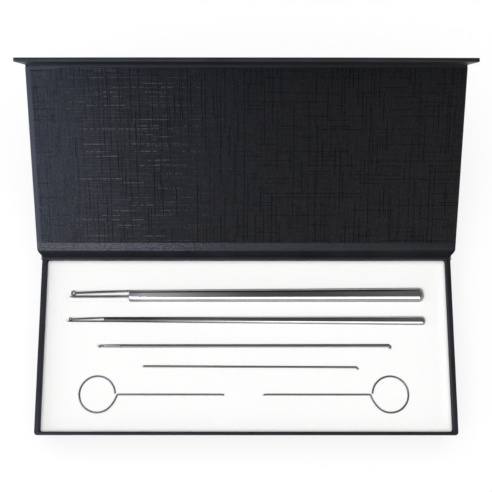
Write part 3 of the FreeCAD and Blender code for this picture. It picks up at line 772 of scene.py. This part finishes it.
def crossing(node, x):
    # centre (y, z) and half width of a node's mesh where the plane x cuts it
    mesh = frame["nodes"][node].data
    hits = []
    for edge in mesh.edges:
        a, b = (mesh.vertices[i].co / mm for i in edge.vertices)
        if (a.x - x) * (b.x - x) < 0:
            hits.append(a.lerp(b, (x - a.x) / (b.x - a.x)))
    lowY, highY = min(p.y for p in hits), max(p.y for p in hits)
    lowZ, highZ = min(p.z for p in hits), max(p.z for p in hits)
    return (lowY + highY) / 2, (lowZ + highZ) / 2, (highY - lowY) / 2


def lieOf(node, xa, xb):
    # a straight tool's place, and its half widths at xa and xb
    ya, za, ra = crossing(node, xa)
    yb, zb, rb = crossing(node, xb)
    angle = math.degrees(math.atan2(yb - ya, xb - xa))
    y = ya - xa * math.tan(math.radians(angle))
    return {"place": standing(0, y, (za + zb) / 2, angle), "ra": ra, "rb": rb}


# large and medium picks: a turned rod whose nose carries two flat prongs, a wire ring and a small scoop. They
# are built along x, with x from the middle of the box and y from the rod's axis.
picks = {
    "large_pick": {"neck": -60.0, "butt": 91.0, "buttRound": 2.5, "neckRound": 0.3, "rootIn": 1.45,
                   "ringX": -88.8, "ringY": 1.44, "ring": 2.45, "wire": 0.62, "prongHeight": 1.6,
                   "frontProng": -0.27, "lip": 2.3, "finish": "largeSteel"},
    "medium_pick": {"neck": -72.7, "butt": 91.4, "buttRound": 1.6, "neckRound": 0.6, "rootIn": 1.2,
                    "ringX": -89.9, "ringY": -0.03, "ring": 1.75, "wire": 0.47, "prongHeight": 1.0,
                    "frontProng": -0.965, "lip": 1.9, "finish": "mediumSteel"},
}
prongMeetsRing = math.radians(12.0)  # round the ring, from its right-hand side
# in wire widths: the scoop's depth and share of its reach, and the lip's share of its length, half width and
# half thickness
scoopDish = ((-0.3, 0.1), (-0.29, 0.5), (-0.2, 0.88), (0.0, 1.0), (0.25, 0.98), (0.28, 0.86), (0.05, 0.72),
             (-0.08, 0.4), (-0.1, 0.08))
lipShape = ((-0.3, 0.5, 0.4), (0.0, 0.6, 0.4), (0.35, 0.5, 0.4), (0.7, 0.35, 0.34), (0.93, 0.21, 0.2),
            (1.0, 0.08, 0.08))


def rodProfile(sizes, buttRadius, neckRadius):
    # (x, radius) from the neck's middle round its shoulder, along the taper and round the butt
    neck, butt = sizes["neckRound"], sizes["buttRound"]
    points = [(sizes["neck"], 0.0)]
    points += [(sizes["neck"] + neck * c, neckRadius - neck * s) for s, c in quarter(6)]
    points += [(sizes["butt"] - butt * s, buttRadius - butt * c) for s, c in quarter(10)]
    return points + [(sizes["butt"], 0.0)]


def lathe(profile, segments=72):
    shape = bmesh.new()
    rings = []
    for x, radius in profile:
        points = circle(radius, segments) if radius > 1e-6 else [(0, 0)]
        rings.append([shape.verts.new(Vector((x, y, z)) * mm) for y, z in points])
    for a, b in zip(rings, rings[1:]):
        for k in range(segments):
            corners = [a[k % len(a)], a[(k + 1) % len(a)], b[(k + 1) % len(b)], b[k % len(b)]]
            shape.faces.new(list(dict.fromkeys(corners)))
    bmesh.ops.recalc_face_normals(shape, faces=shape.faces)
    return shape


def bar(start, end, width, height, soft):
    # a prong: flat on its sides, thin across and tall, its long edges rounded
    corners = oblong(-width / 2, width / 2, -height / 2, height / 2)
    section = softOutline(corners, soft, 0.0, [1, 1, 1, 1], 4)
    run = Vector(end) - Vector(start)
    path = planPath(start, math.degrees(math.atan2(run.y, run.x)), [(run.length, 0)], 6.0)
    return loft(sweepLoops(path, lambda k: section, 0.0))


def prongLines(sizes, neckRadius):
    # each prong's two ends, at the ring and in the rod: the back one and then the front one
    ringMid = (sizes["ring"] - sizes["wire"]) / 2
    root, front = sizes["neck"] + sizes["rootIn"], sizes["frontProng"]
    meets = Vector((sizes["ringX"], sizes["ringY"])) + facing(prongMeetsRing) * ringMid
    return [(meets, (root, neckRadius - sizes["wire"] / 2)), ((sizes["ringX"], front), (root, front))]


def addTool(node, shape, place=asBuilt, finish="drawnWire"):
    shape.transform(place)
    bmesh.ops.recalc_face_normals(shape, faces=shape.faces)
    addPiece(node + "_steel", shape, finish, node, [node], sharp=40)


def makePick(name):
    sizes = picks[name]
    gauge = 5.0  # the rod is measured this far in from both ends
    lie = lieOf(name, sizes["neck"] + gauge, sizes["butt"] - gauge)
    slope = (lie["rb"] - lie["ra"]) / (sizes["butt"] - sizes["neck"] - 2 * gauge)
    buttRadius, neckRadius = lie["rb"] + slope * gauge, lie["ra"] - slope * gauge
    shape = lathe(rodProfile(sizes, buttRadius, neckRadius))
    ringX, ringY, front, wire = (sizes[key] for key in ("ringX", "ringY", "frontProng", "wire"))
    ringMid = (sizes["ring"] - wire) / 2
    for start, root in prongLines(sizes, neckRadius):
        joinInto(shape, bar(start, root, wire, sizes["prongHeight"], wire * 0.15))
    ring = planPath((ringX + ringMid, ringY), 90, [(ringMid, 360)], bend=7.5)[:-1]
    loops = sweepLoops(ring, lambda k: circle(wire / 2, 14), 0.0)
    joinInto(shape, loft(loops + loops[:1], cap=False))
    # a small dished scoop between the ring and the front prong
    reach = abs(ringY - ringMid - front) / 2 + wire / 2
    middle = (ringY - ringMid + front) / 2
    joinInto(shape, loft([[(ringX + x, middle + y, depth * wire) for x, y in circle(reach * scale, 32)]
                          for depth, scale in scoopDish]))
    # the front prong runs on past the ring to a flattened, pointed lip
    joinInto(shape, loft([[(ringX - sizes["lip"] * share, front + half * wire * y, thick * wire * z)
                           for y, z in circle(1.0, 16)] for share, half, thick in lipShape]))
    addTool(name, shape, lie["place"], sizes["finish"])
    return {"place": lie["place"], "buttRadius": buttRadius, "neckRadius": neckRadius}


# the bent and pointed wire tools
smallPick = {"nose": -61.0, "tip": -74.0, "tipRadius": 0.45, "tipSoft": 0.08, "hookX": 72.0,
             "hookInside": 0.25, "hookLength": 0.3, "slot": 0.55, "slotLength": 8.6, "window": 1.7,
             "web": 0.6, "scoop": 1.4, "gaugedAt": 50}
# the small pick's open scoop: distance along it, its outer half width and its inner half width
smallScoop = ((0.0, 0.42, 0.30), (0.35, 0.62, 0.42), (0.9, 0.66, 0.46), (1.25, 0.5, 0.34), (1.42, 0.2, 0.1))
thinProbe = {"left": -52.4, "bendX": 55.2, "bendInside": 0.5, "bend": 45.0, "tip": 1.0, "cut": 35.0,
             "gaugedAt": 40}
ringPick = {"free": 3.0, "leave": 42.0, "leadRadius": 16.0, "lead": 22.0, "neckInside": 0.7, "stem": 51.6,
            "tipBend": 8.0, "tip": 1.2}


def wireLoops(path, radius, level, mirror=False):
    # a round wire, its two ends slightly rounded off
    soft = 0.12
    (first, startAngle), (last, endAngle) = path[0], path[-1]
    path = ([path[0], (first + facing(startAngle) * soft, startAngle)] + path[1:-1]
            + [(last - facing(endAngle) * soft, endAngle), path[-1]])
    radii = [radius - soft] + [radius] * (len(path) - 2) + [radius - soft]
    return sweepLoops(path, lambda k: circle(radii[k], 20), level, mirror)


def smallPath(radius):
    sizes = smallPick
    moves = [(sizes["hookX"] - sizes["nose"], 0), (radius + sizes["hookInside"], -90),
             (sizes["hookLength"], 0)]
    return planPath((sizes["nose"], 0), 0, moves, 4.0)


def makeSmallPick():
    sizes = smallPick
    lie = lieOf("small_pick", -sizes["gaugedAt"], sizes["gaugedAt"])
    radius, tip, soft = lie["rb"], sizes["tip"], sizes["tipSoft"]
    shape = loft(wireLoops(smallPath(radius), radius, 0.0))
    overlap = sizes["nose"] + 0.5
    nose = lathe([(tip, 0), (tip, sizes["tipRadius"] - soft), (tip + soft, sizes["tipRadius"]),
                  (sizes["nose"], radius), (overlap, radius), (overlap, 0)], 40)
    windowEnd = sizes["nose"] - sizes["web"]
    slotEnd = windowEnd - sizes["window"] - sizes["web"]
    half = sizes["slot"] / 2
    holes = []
    for end, length in ((windowEnd, sizes["window"]), (slotEnd, sizes["slotLength"])):
        plan = softOutline(oblong(end - length, end, -half, half), half * 0.98, 0.0, [6, 1, 6, 1], 5)
        holes.append(loft([atHeight(plan, z) for z in (-3.0, 3.0)]))
    joinInto(shape, carve(nose, holes))
    # a tiny open scoop, turned a little towards the front
    loops = []
    for along, outer, inner in smallScoop:
        loop = [(along, outer * math.cos(a), outer * math.sin(a))
                for a in (math.pi * (1 + k / 10) for k in range(11))]
        loop += [(along, inner * math.cos(a), 0.12 + inner * math.sin(a))
                 for a in (math.pi * (2 - k / 10) for k in range(11))]
        loops.append(loop)
    scoop = loft(loops)
    scoop.transform(standing(tip + 0.25, 0, 0, 205))
    joinInto(shape, scoop)
    addTool("small_pick", shape, lie["place"])
    return lie["place"], radius


def thinPath(radius):
    sizes = thinProbe
    moves = [(sizes["bendX"] - sizes["left"], 0), (radius + sizes["bendInside"], -sizes["bend"]),
             (sizes["tip"], 0)]
    return planPath((sizes["left"], 0), 0, moves, 4.0)


def makeThinProbe():
    lie = lieOf("thin_probe", -thinProbe["gaugedAt"], thinProbe["gaugedAt"])
    radius = lie["rb"]
    shape = loft(wireLoops(thinPath(radius), radius, 0.0))
    # its left end is cut off at a slant
    cut = math.radians(thinProbe["cut"])
    reach = Vector((thinProbe["left"] + radius * math.tan(cut), 0, 0)) * mm
    away = Vector((-math.cos(cut), math.sin(cut), 0))
    parts = shape.verts[:] + shape.edges[:] + shape.faces[:]
    bmesh.ops.bisect_plane(shape, geom=parts, plane_co=reach, plane_no=away, clear_outer=True)
    bmesh.ops.holes_fill(shape, edges=[e for e in shape.edges if e.is_boundary])
    addTool("thin_probe", shape, lie["place"])
    return lie["place"], radius


def ringPath(lie):
    # from the wire's free end round the ring, out of it and along the stem, for the left-hand tool
    sizes = ringPick
    neck = lie["radius"] + sizes["neckInside"]
    moves = [(lie["ring"], 360 - sizes["leave"] - sizes["free"]), (sizes["leadRadius"], sizes["lead"]),
             (neck, sizes["leave"] - sizes["lead"] - 90), (sizes["stem"], 0), (neck, -sizes["tipBend"]),
             (sizes["tip"], 0)]
    a = math.radians(sizes["free"])
    start = (lie["x"] + lie["ring"] * math.cos(a), lie["y"] + lie["ring"] * math.sin(a))
    return planPath(start, 90 + sizes["free"], moves, 3.0, 3.0)


def makeRingPick(node, mirror):
    low, high = nodeBox(node)
    radius = (high.z - low.z) / 2
    ring = (high.y - low.y) / 2 - radius
    x = -(high.x - ring - radius) if mirror else low.x + ring + radius
    lie = {"radius": radius, "ring": ring, "x": x, "y": (low.y + high.y) / 2, "level": (low.z + high.z) / 2,
           "mirror": mirror}
    shape = loft(wireLoops(ringPath(lie), radius, lie["level"], mirror))
    addTool(node, shape)
    return lie


pickLies = {name: makePick(name) for name in picks}
smallPlace, smallRadius = makeSmallPick()
thinPlace, thinRadius = makeThinProbe()
ringLies = [makeRingPick("left_ring_pick", False), makeRingPick("right_ring_pick", True)]
print("tools made")


# foam: a pad cut to the tools' outlines, so that it hugs them, on a plain block
foam = {"snug": 0.07, "wireSnug": 0.06, "lip": 0.10, "edge": 0.12, "press": 0.18, "fill": 0.85, "proud": 0.8,
        "cornerRound": 1.0, "troughDepth": 0.22}
# distance in from the pad's edge, and the share of proud by which it stands up there
padBulge = ((1.0, 0.86), (2.0, 0.55), (3.2, 0.22), (4.2, 0.06), (5.2, 0.0))
grooveEnd = (1.0, 0.94, 0.8, 0.6, 0.35)  # how far beyond a path's end, as shares of the groove's half width


def grooveSection(half, depth, lip):
    # (side, height) from above one rounded lip, round the groove's floor, to above the other
    above = 1.5
    points = [(half + lip, above)]
    points += [(half + lip * s, -lip * c) for s, c in quarter(3)]
    for k in range(1, 12):
        a = math.pi * k / 12
        points.append((half * math.cos(a), -lip - (depth - lip) * math.sin(a)))
    points += [(-half - lip * s, -lip * c) for s, c in reversed(quarter(3))]
    return points + [(-half - lip, above)]


def troughSection(half, deep, shallow, lip, channels, count=44):
    # a shallow trough with a deeper channel under each (centre, half width) in channels
    points = grooveSection(half, 1.0, lip)
    floor = []
    for k in range(1, count):
        side = half * math.cos(math.pi * k / count)
        depth = shallow
        for centre, reach in channels:
            inside = 1 - smooth(abs(side - centre), reach, reach + 0.25)
            depth = max(depth, shallow + (deep - shallow) * inside)
        wall = smooth(half - abs(side), 0.0, 0.3)
        floor.append((side, -lip - max(0.01, depth - lip) * wall))
    return points[:5] + floor + points[-5:]


def roundedEnds(path, radius):
    # extra path points beyond both ends, and how wide the groove is at each point, from 0 to 1
    (first, startAngle), (last, endAngle) = path[0], path[-1]
    start = [(first - facing(startAngle) * radius * s, startAngle) for s in grooveEnd]
    end = [(last + facing(endAngle) * radius * s, endAngle) for s in reversed(grooveEnd)]
    widths = [max(0.05, math.sqrt(1 - s * s)) for s in grooveEnd]
    return start + path + end, widths + [1.0] * len(path) + widths[::-1]


def groove(path, radii, level=0.0, mirror=False, place=asBuilt):
    # a cutter along the path, at each point as deep as radii says, and twice as wide
    lip = foam["lip"]
    loops = sweepLoops(path, lambda k: grooveSection(radii[k], max(lip + 0.02, radii[k]), lip), level, mirror)
    shape = loft(loops)
    shape.transform(place)
    return shape


def wireGroove(path, radius, level=0.0, mirror=False, place=asBuilt):
    half = radius + foam["wireSnug"]
    whole, widths = roundedEnds(path, half)
    return groove(whole, [half * width for width in widths], level, mirror, place)


def pickGrooves(name):
    sizes, found = picks[name], pickLies[name]
    snug, lip, neckRadius = foam["snug"], foam["lip"], found["neckRadius"]
    profile = [(x, r) for x, r in rodProfile(sizes, found["buttRadius"], neckRadius) if r > 0.4]
    stations = [(sizes["neck"] - snug, profile[0][1] + snug * 0.5)]
    stations += [(x, r + snug) for x, r in profile]
    stations += [(sizes["butt"] + snug, profile[-1][1] * 0.5)]
    rod = groove([(Vector((x, 0)), 0.0) for x, r in stations], [r for x, r in stations], place=found["place"])
    # under the nose the slit foam closes up again, to a shallow trough as wide as the neck
    half = neckRadius + snug
    ringX, ringY, front, wire = (sizes[key] for key in ("ringX", "ringY", "frontProng", "wire"))
    ringHalf, room = sizes["ring"] / 2, 0.15
    start = ringX - sizes["lip"] + 0.3
    end = sizes["neck"] + sizes["neckRound"]
    nose = [(Vector((start + (end - start) * k / 60, 0)), 0.0) for k in range(61)]
    whole, widths = roundedEnds(nose, half * 0.5)
    whole = whole[:-len(grooveEnd)]  # its right-hand end runs into the rod's groove

    def section(k):
        x = whole[k][0].x
        deep = sizes["prongHeight"] / 2 + 0.12
        channels = []
        for (x0, y0), (x1, y1) in prongLines(sizes, neckRadius):
            channels.append((y0 + (y1 - y0) * (x - x0) / (x1 - x0), wire / 2 + 0.1))
        if x < ringX + ringHalf:
            low, high = front - wire / 2 - room, max(ringY + ringHalf, front) + room
            if x < ringX - ringHalf:
                high, deep = front + wire + room, wire / 2 + room
            channels = [((high + low) / 2, (high - low) / 2)]
        return troughSection(half * (0.5 + 0.5 * widths[k]), deep, foam["troughDepth"], lip, channels)

    trough = loft(sweepLoops(whole, section, 0.0))
    trough.transform(found["place"])
    return [rod, trough]


def smallNoseGroove():
    half, depth = smallRadius + 0.1, 0.85
    start = smallPick["tip"] - smallPick["scoop"] + 0.3
    path = planPath((start, 0), 0, [(smallPick["nose"] - smallPick["tip"] + 1.0, 0)], 1.0)
    whole, widths = roundedEnds(path, half)
    halves = [half * max(0.4, width) for width in widths]
    shape = loft(sweepLoops(whole, lambda k: grooveSection(halves[k], depth, foam["lip"]), 0.0))
    shape.transform(smallPlace)
    return shape


def makePad():
    low, high = nodeBox("foam_pad")
    press, edge, proud = foam["press"], foam["edge"], foam["proud"]
    corners = oblong(low.x - press, high.x + press, low.y - press, high.y + press)
    parts = [1, 1, 1, 1]
    # pressed into the tray, its edge stands a little proud
    top = high.z + proud
    sides = ((0.4, low.z), (0.0, low.z + 0.4), (0.0, top - edge), (edge * 0.3, top - edge * 0.3), (edge, top))
    loops = [atHeight(softOutline(corners, foam["cornerRound"], inset, parts), z) for inset, z in sides]
    (x0, y0), (x1, y1) = corners[0], corners[2]
    for inset, share in padBulge:
        inner = oblong(x0 + inset, x1 - inset, y0 + inset, y1 - inset)
        loops.append(atHeight(softOutline(inner, 0.8, 0.0, parts), high.z + proud * share))
    cutters = []
    for name in picks:
        cutters += pickGrooves(name)
    cutters.append(wireGroove(smallPath(smallRadius), smallRadius, place=smallPlace))
    cutters.append(smallNoseGroove())
    cutters.append(wireGroove(thinPath(thinRadius), thinRadius, place=thinPlace))
    for lie in ringLies:
        cutters.append(wireGroove(ringPath(lie), lie["radius"], lie["level"], lie["mirror"]))
    shape = carve(loft(loops), cutters)
    bmesh.ops.remove_doubles(shape, verts=shape.verts, dist=0.0005 * mm)
    piece = addPiece("foam_insert", shape, "white_foam", "case", ["foam_pad"], sharp=40)
    # the flat top stays flat beside its rounded lips
    mesh = piece.data
    flatEdges = {}
    for face in mesh.polygons:
        if abs(face.normal.z) > 0.9999:
            for key in face.edge_keys:
                flatEdges[key] = flatEdges.get(key, 0) + 1
    sharp = mesh.attributes.get("sharp_edge") or mesh.attributes.new("sharp_edge", "BOOLEAN", "EDGE")
    for edge in mesh.edges:
        if flatEdges.get(edge.key, 0) == 1:
            sharp.data[edge.index].value = True
    print("foam pad faces:", len(mesh.polygons))


def makeBlock():
    low, high = nodeBox("foam_backing")
    corners = oblong(low.x, high.x, low.y, high.y)
    parts = edgeParts(corners, 20.0)
    sides = [(0.6, low.z), (0.2, low.z + 0.15), (0.0, low.z + 0.6)]
    sides += [(0.0, high.z - 0.6), (0.2, high.z - 0.15), (0.6, high.z)]
    loops = [atHeight(softOutline(corners, foam["cornerRound"], inset, parts), z) for inset, z in sides]
    backing = addPiece("foam_block", loft(loops), "white_foam", "case", ["foam_backing"], sharp=35)


makePad()
makeBlock()
print("foam made")


# hinges: doubled cover paper, creased along both sides of each joint
hinge = {"lap": 1.3, "lidColumns": 150, "flapColumns": 110, "crinkle": 0.05, "crinkleSize": 2.2}


def makeLidHinge():
    lidNear = lidOpen @ (Vector((0, lidHigh.y, lidLow.z)) * mm) / mm
    lidFar = lidOpen @ (Vector((0, lidHigh.y, lidHigh.z)) * mm) / mm
    lap = lidOpen.to_3x3() @ Vector((0, -1, 0)) * hinge["lap"]
    trayBack, spineBack, top = trayHigh.y, spineHigh.y, spineHigh.z
    # cross-section (y, z) and the half width there, inner side first and back along the outer side
    halfTray, halfLid = trayHigh.x, lidHigh.x - 0.1
    ring = [
        (trayBack - 0.3, top + 0.1, halfTray),
        (trayBack + 0.6, top - 0.02, halfTray + 0.5),
        (spineBack - 0.5, top + 0.05, halfTray + 1.2),
        (spineBack + 0.3, top + 0.16, halfTray + 2.0),
        (spineBack + 1.15, top + 0.42, halfTray + 2.5),
        (lidNear.y - 0.05, lidNear.z - 0.03, halfLid),
        (lidNear.y + lap.y, lidNear.z + lap.z - 0.04, halfLid),
        (lidFar.y + lap.y, lidFar.z + lap.z + 0.04, halfLid),
        (lidFar.y - 0.03, lidFar.z + 0.03, halfLid),
        (lidFar.y - 0.6, lidFar.z + 0.1, halfLid),
        (spineBack + 0.6, top - 0.75, halfTray + 2.2),
        (spineBack - 0.02, top - 0.9, halfTray + 1.4),
        (spineBack - 0.3, top - 1.4, halfTray + 0.9),
        (trayBack + 0.3, top - 1.4, halfTray),
    ]
    loops = []
    for c in range(hinge["lidColumns"] + 1):
        loop = []
        for i, (y, z, half) in enumerate(ring):
            x = (c / hinge["lidColumns"] * 2 - 1) * half
            shift = Vector()
            if 1 < i < 6:  # the bend on the inner side is finely crinkled
                shift = sway(x, i * 2.0, 0, hinge["crinkleSize"], hinge["crinkle"], 15.0)
            loop.append((x, y + shift.y, z + shift.z))
        loops.append(loop)
    piece = addPiece("lid_hinge_paper", loft(loops), "creasedPaper", None, ["lid_hinge_strip"])
    # the part that lies on from the lid keeps its shine, and has the crinkled paper's painted highlights on its
    # ruck crests
    onLid = (lidNear.y - 0.9) * mm
    refinish(piece, "crinkledPaper", lambda face: face.center.y > onLid and face.normal.z > 0.5)
    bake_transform(piece)


def makeFlapHinge():
    # drawn shut, where lid and flap meet at a right angle, then opened with the lid
    lidEdge, lidTop = lidLow.y, lidHigh.z
    flapOuter, flapTop = flapLow.y, flapHigh.z
    restFlap = lidShut @ flapOpen  # the flap's rest pose, seen with the lid shut
    # cross-section (y, z) and how far each point goes with the flap, from 0 to 1
    steps = 6
    ring = [(lidEdge + 0.8, lidTop - 0.03, 0.0)]
    for k in range(steps + 1):
        a = math.pi / 2 * k / steps
        ring.append((lidEdge - (lidEdge - flapOuter) * math.sin(a),
                     flapTop + (lidTop - flapTop) * math.cos(a), k / steps))
    ring += [
        (flapOuter + 0.03, flapTop - 0.8, 1.0),
        (lidEdge - 0.3, flapTop - 0.6, 1.0),
        (lidEdge - 0.02, flapTop - 0.02, 1.0),
        (lidEdge - 0.8, flapTop + 0.8, 0.5),
        (lidEdge + 0.02, flapTop + 0.02, 0.0),
        (lidEdge + 0.6, flapTop + 0.3, 0.0),
    ]
    half = lidHigh.x - 0.2
    loops = []
    for c in range(hinge["flapColumns"] + 1):
        x = (c / hinge["flapColumns"] * 2 - 1) * half
        loop = []
        for y, z, share in ring:
            there = Vector((x, y, z)) * mm
            loop.append((lidOpen @ there.lerp(restFlap @ there, share)) / mm)
        loops.append(loop)
    piece = addPiece("flap_hinge_paper", loft(loops), "black_cover_paper", None, ["flap_hinge_strip"])
    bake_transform(piece)


makeLidHinge()
makeFlapHinge()
print("hinges made")


# studio: a pale floor, soft boxes, and a room that is dim overhead and pale at the horizon and on the left
studio = {"floor": "#FBFBFB", "floorSize": 4000, "floorBelow": 0.05, "floorShown": 0.75,
          "overhead": 0.12, "horizon": 0.75, "left": 0.60, "right": 0.08}
# a lamp's power in watts is its strength x pi x its area in square metres
lamps = {
    "frontBox": {"place": (0, -780, 450), "aim": (0, 0, 20), "size": (900, 764), "strength": 2.2,
                 "colour": "#FFFFFF", "hiddenFrom": "visible_diffuse"},
    "windowCard": {"place": (-590, -420, 680), "aim": (-40, 80, 30), "size": (420, 520), "strength": 15.0,
                   "colour": "#BED3FF", "hiddenFrom": "visible_diffuse"},
    "overheadFill": {"place": (0, 60, 1100), "aim": (0, 30, 0), "size": (1400, 1400), "strength": 1.98781,
                     "colour": "#FFFFFF", "hiddenFrom": "visible_glossy"},
}


def addLamp(name, lamp):
    data = bpy.data.lights.new(name, "AREA")
    data.shape = "RECTANGLE"
    data.size, data.size_y = (size * mm for size in lamp["size"])
    data.energy = lamp["strength"] * math.pi * lamp["size"][0] * lamp["size"][1] * mm * mm
    data.color = linear(lamp["colour"])[:3]
    thing = bpy.data.objects.new(name, data)
    bpy.context.scene.collection.objects.link(thing)
    thing.location = Vector(lamp["place"]) * mm
    aim = (Vector(lamp["aim"]) - Vector(lamp["place"])).normalized()
    thing.rotation_mode = "QUATERNION"
    thing.rotation_quaternion = aim.to_track_quat("-Z", "Y")
    thing.visible_camera = False
    setattr(thing, lamp["hiddenFrom"], False)


def makeFloor():
    shape = bmesh.new()
    bmesh.ops.create_grid(shape, x_segments=8, y_segments=8, size=studio["floorSize"] * mm)
    floor = asObject("studio_floor", shape)
    floor.location.z = -studio["floorBelow"] * mm
    material = newMaterial("studioPaperRoll", Roughness=0.9, Base_Color=linear(studio["floor"]))
    tree = material.node_tree
    shown = add(tree, "LightPath", out="Is Camera Ray")
    for ray in ("Is Glossy Ray", "Is Transmission Ray"):
        shown = add(tree, "Math", (shown, add(tree, "LightPath", out=ray)), operation="MAXIMUM")
    share = add(tree, "Math", (shown, studio["floorShown"]), operation="MULTIPLY")
    white = add(tree, "Emission", {"Color": (1, 1, 1, 1), "Strength": 1.0})
    mixed = add(tree, "MixShader", (share, tree.nodes["Principled BSDF"].outputs[0], white))
    tree.links.new(mixed, tree.nodes["Material Output"].inputs["Surface"])
    floor.data.materials.append(material)


def makeRoom():
    world = bpy.data.worlds.new("studio")
    bpy.context.scene.world = world
    world.use_nodes = True
    tree = world.node_tree
    toward = add(tree, "TexCoord", out="Generated")
    across, up = [add(tree, "SeparateXYZ", (toward,), axis) for axis in ("X", "Z")]
    level = add(tree, "MapRange", (up, 0.14, 0.42, studio["horizon"], studio["overhead"]))
    for low, high, side in ((-0.05, -0.25, "left"), (0.08, 0.25, "right")):
        extra = add(tree, "MapRange", (across, low, high, 0.0, studio[side]))
        level = add(tree, "Math", (level, extra), operation="ADD")
    light = add(tree, "CombineXYZ", (level, level, level))
    seen = add(tree, "LightPath", out="Is Camera Ray")
    colour = add(tree, "Mix", {0: seen, 6: light, 7: (1, 1, 1, 1)}, 2, data_type="RGBA")
    tree.links.new(colour, tree.nodes["Background"].inputs["Color"])


camera = {"place": (-0.5, -35.2, 451.9), "tilt": 11.264, "yaw": -0.049, "roll": 0.022, "lens": 62.2,
          "sensor": 36.0}


def makeCamera():
    data = bpy.data.cameras.new("camera")
    data.sensor_width = camera["sensor"]
    data.lens = camera["lens"]
    data.clip_start, data.clip_end = 0.01, 50
    body = bpy.data.objects.new("camera", data)
    bpy.context.scene.collection.objects.link(body)
    body.location = Vector(camera["place"]) * mm
    body.rotation_euler = [math.radians(camera[turn]) for turn in ("tilt", "yaw", "roll")]
    bpy.context.scene.camera = body


makeFloor()
makeRoom()
for name, lamp in lamps.items():
    addLamp(name, lamp)
makeCamera()
bpy.context.scene.view_settings.view_transform = "Standard"
print("studio made")

print("done")
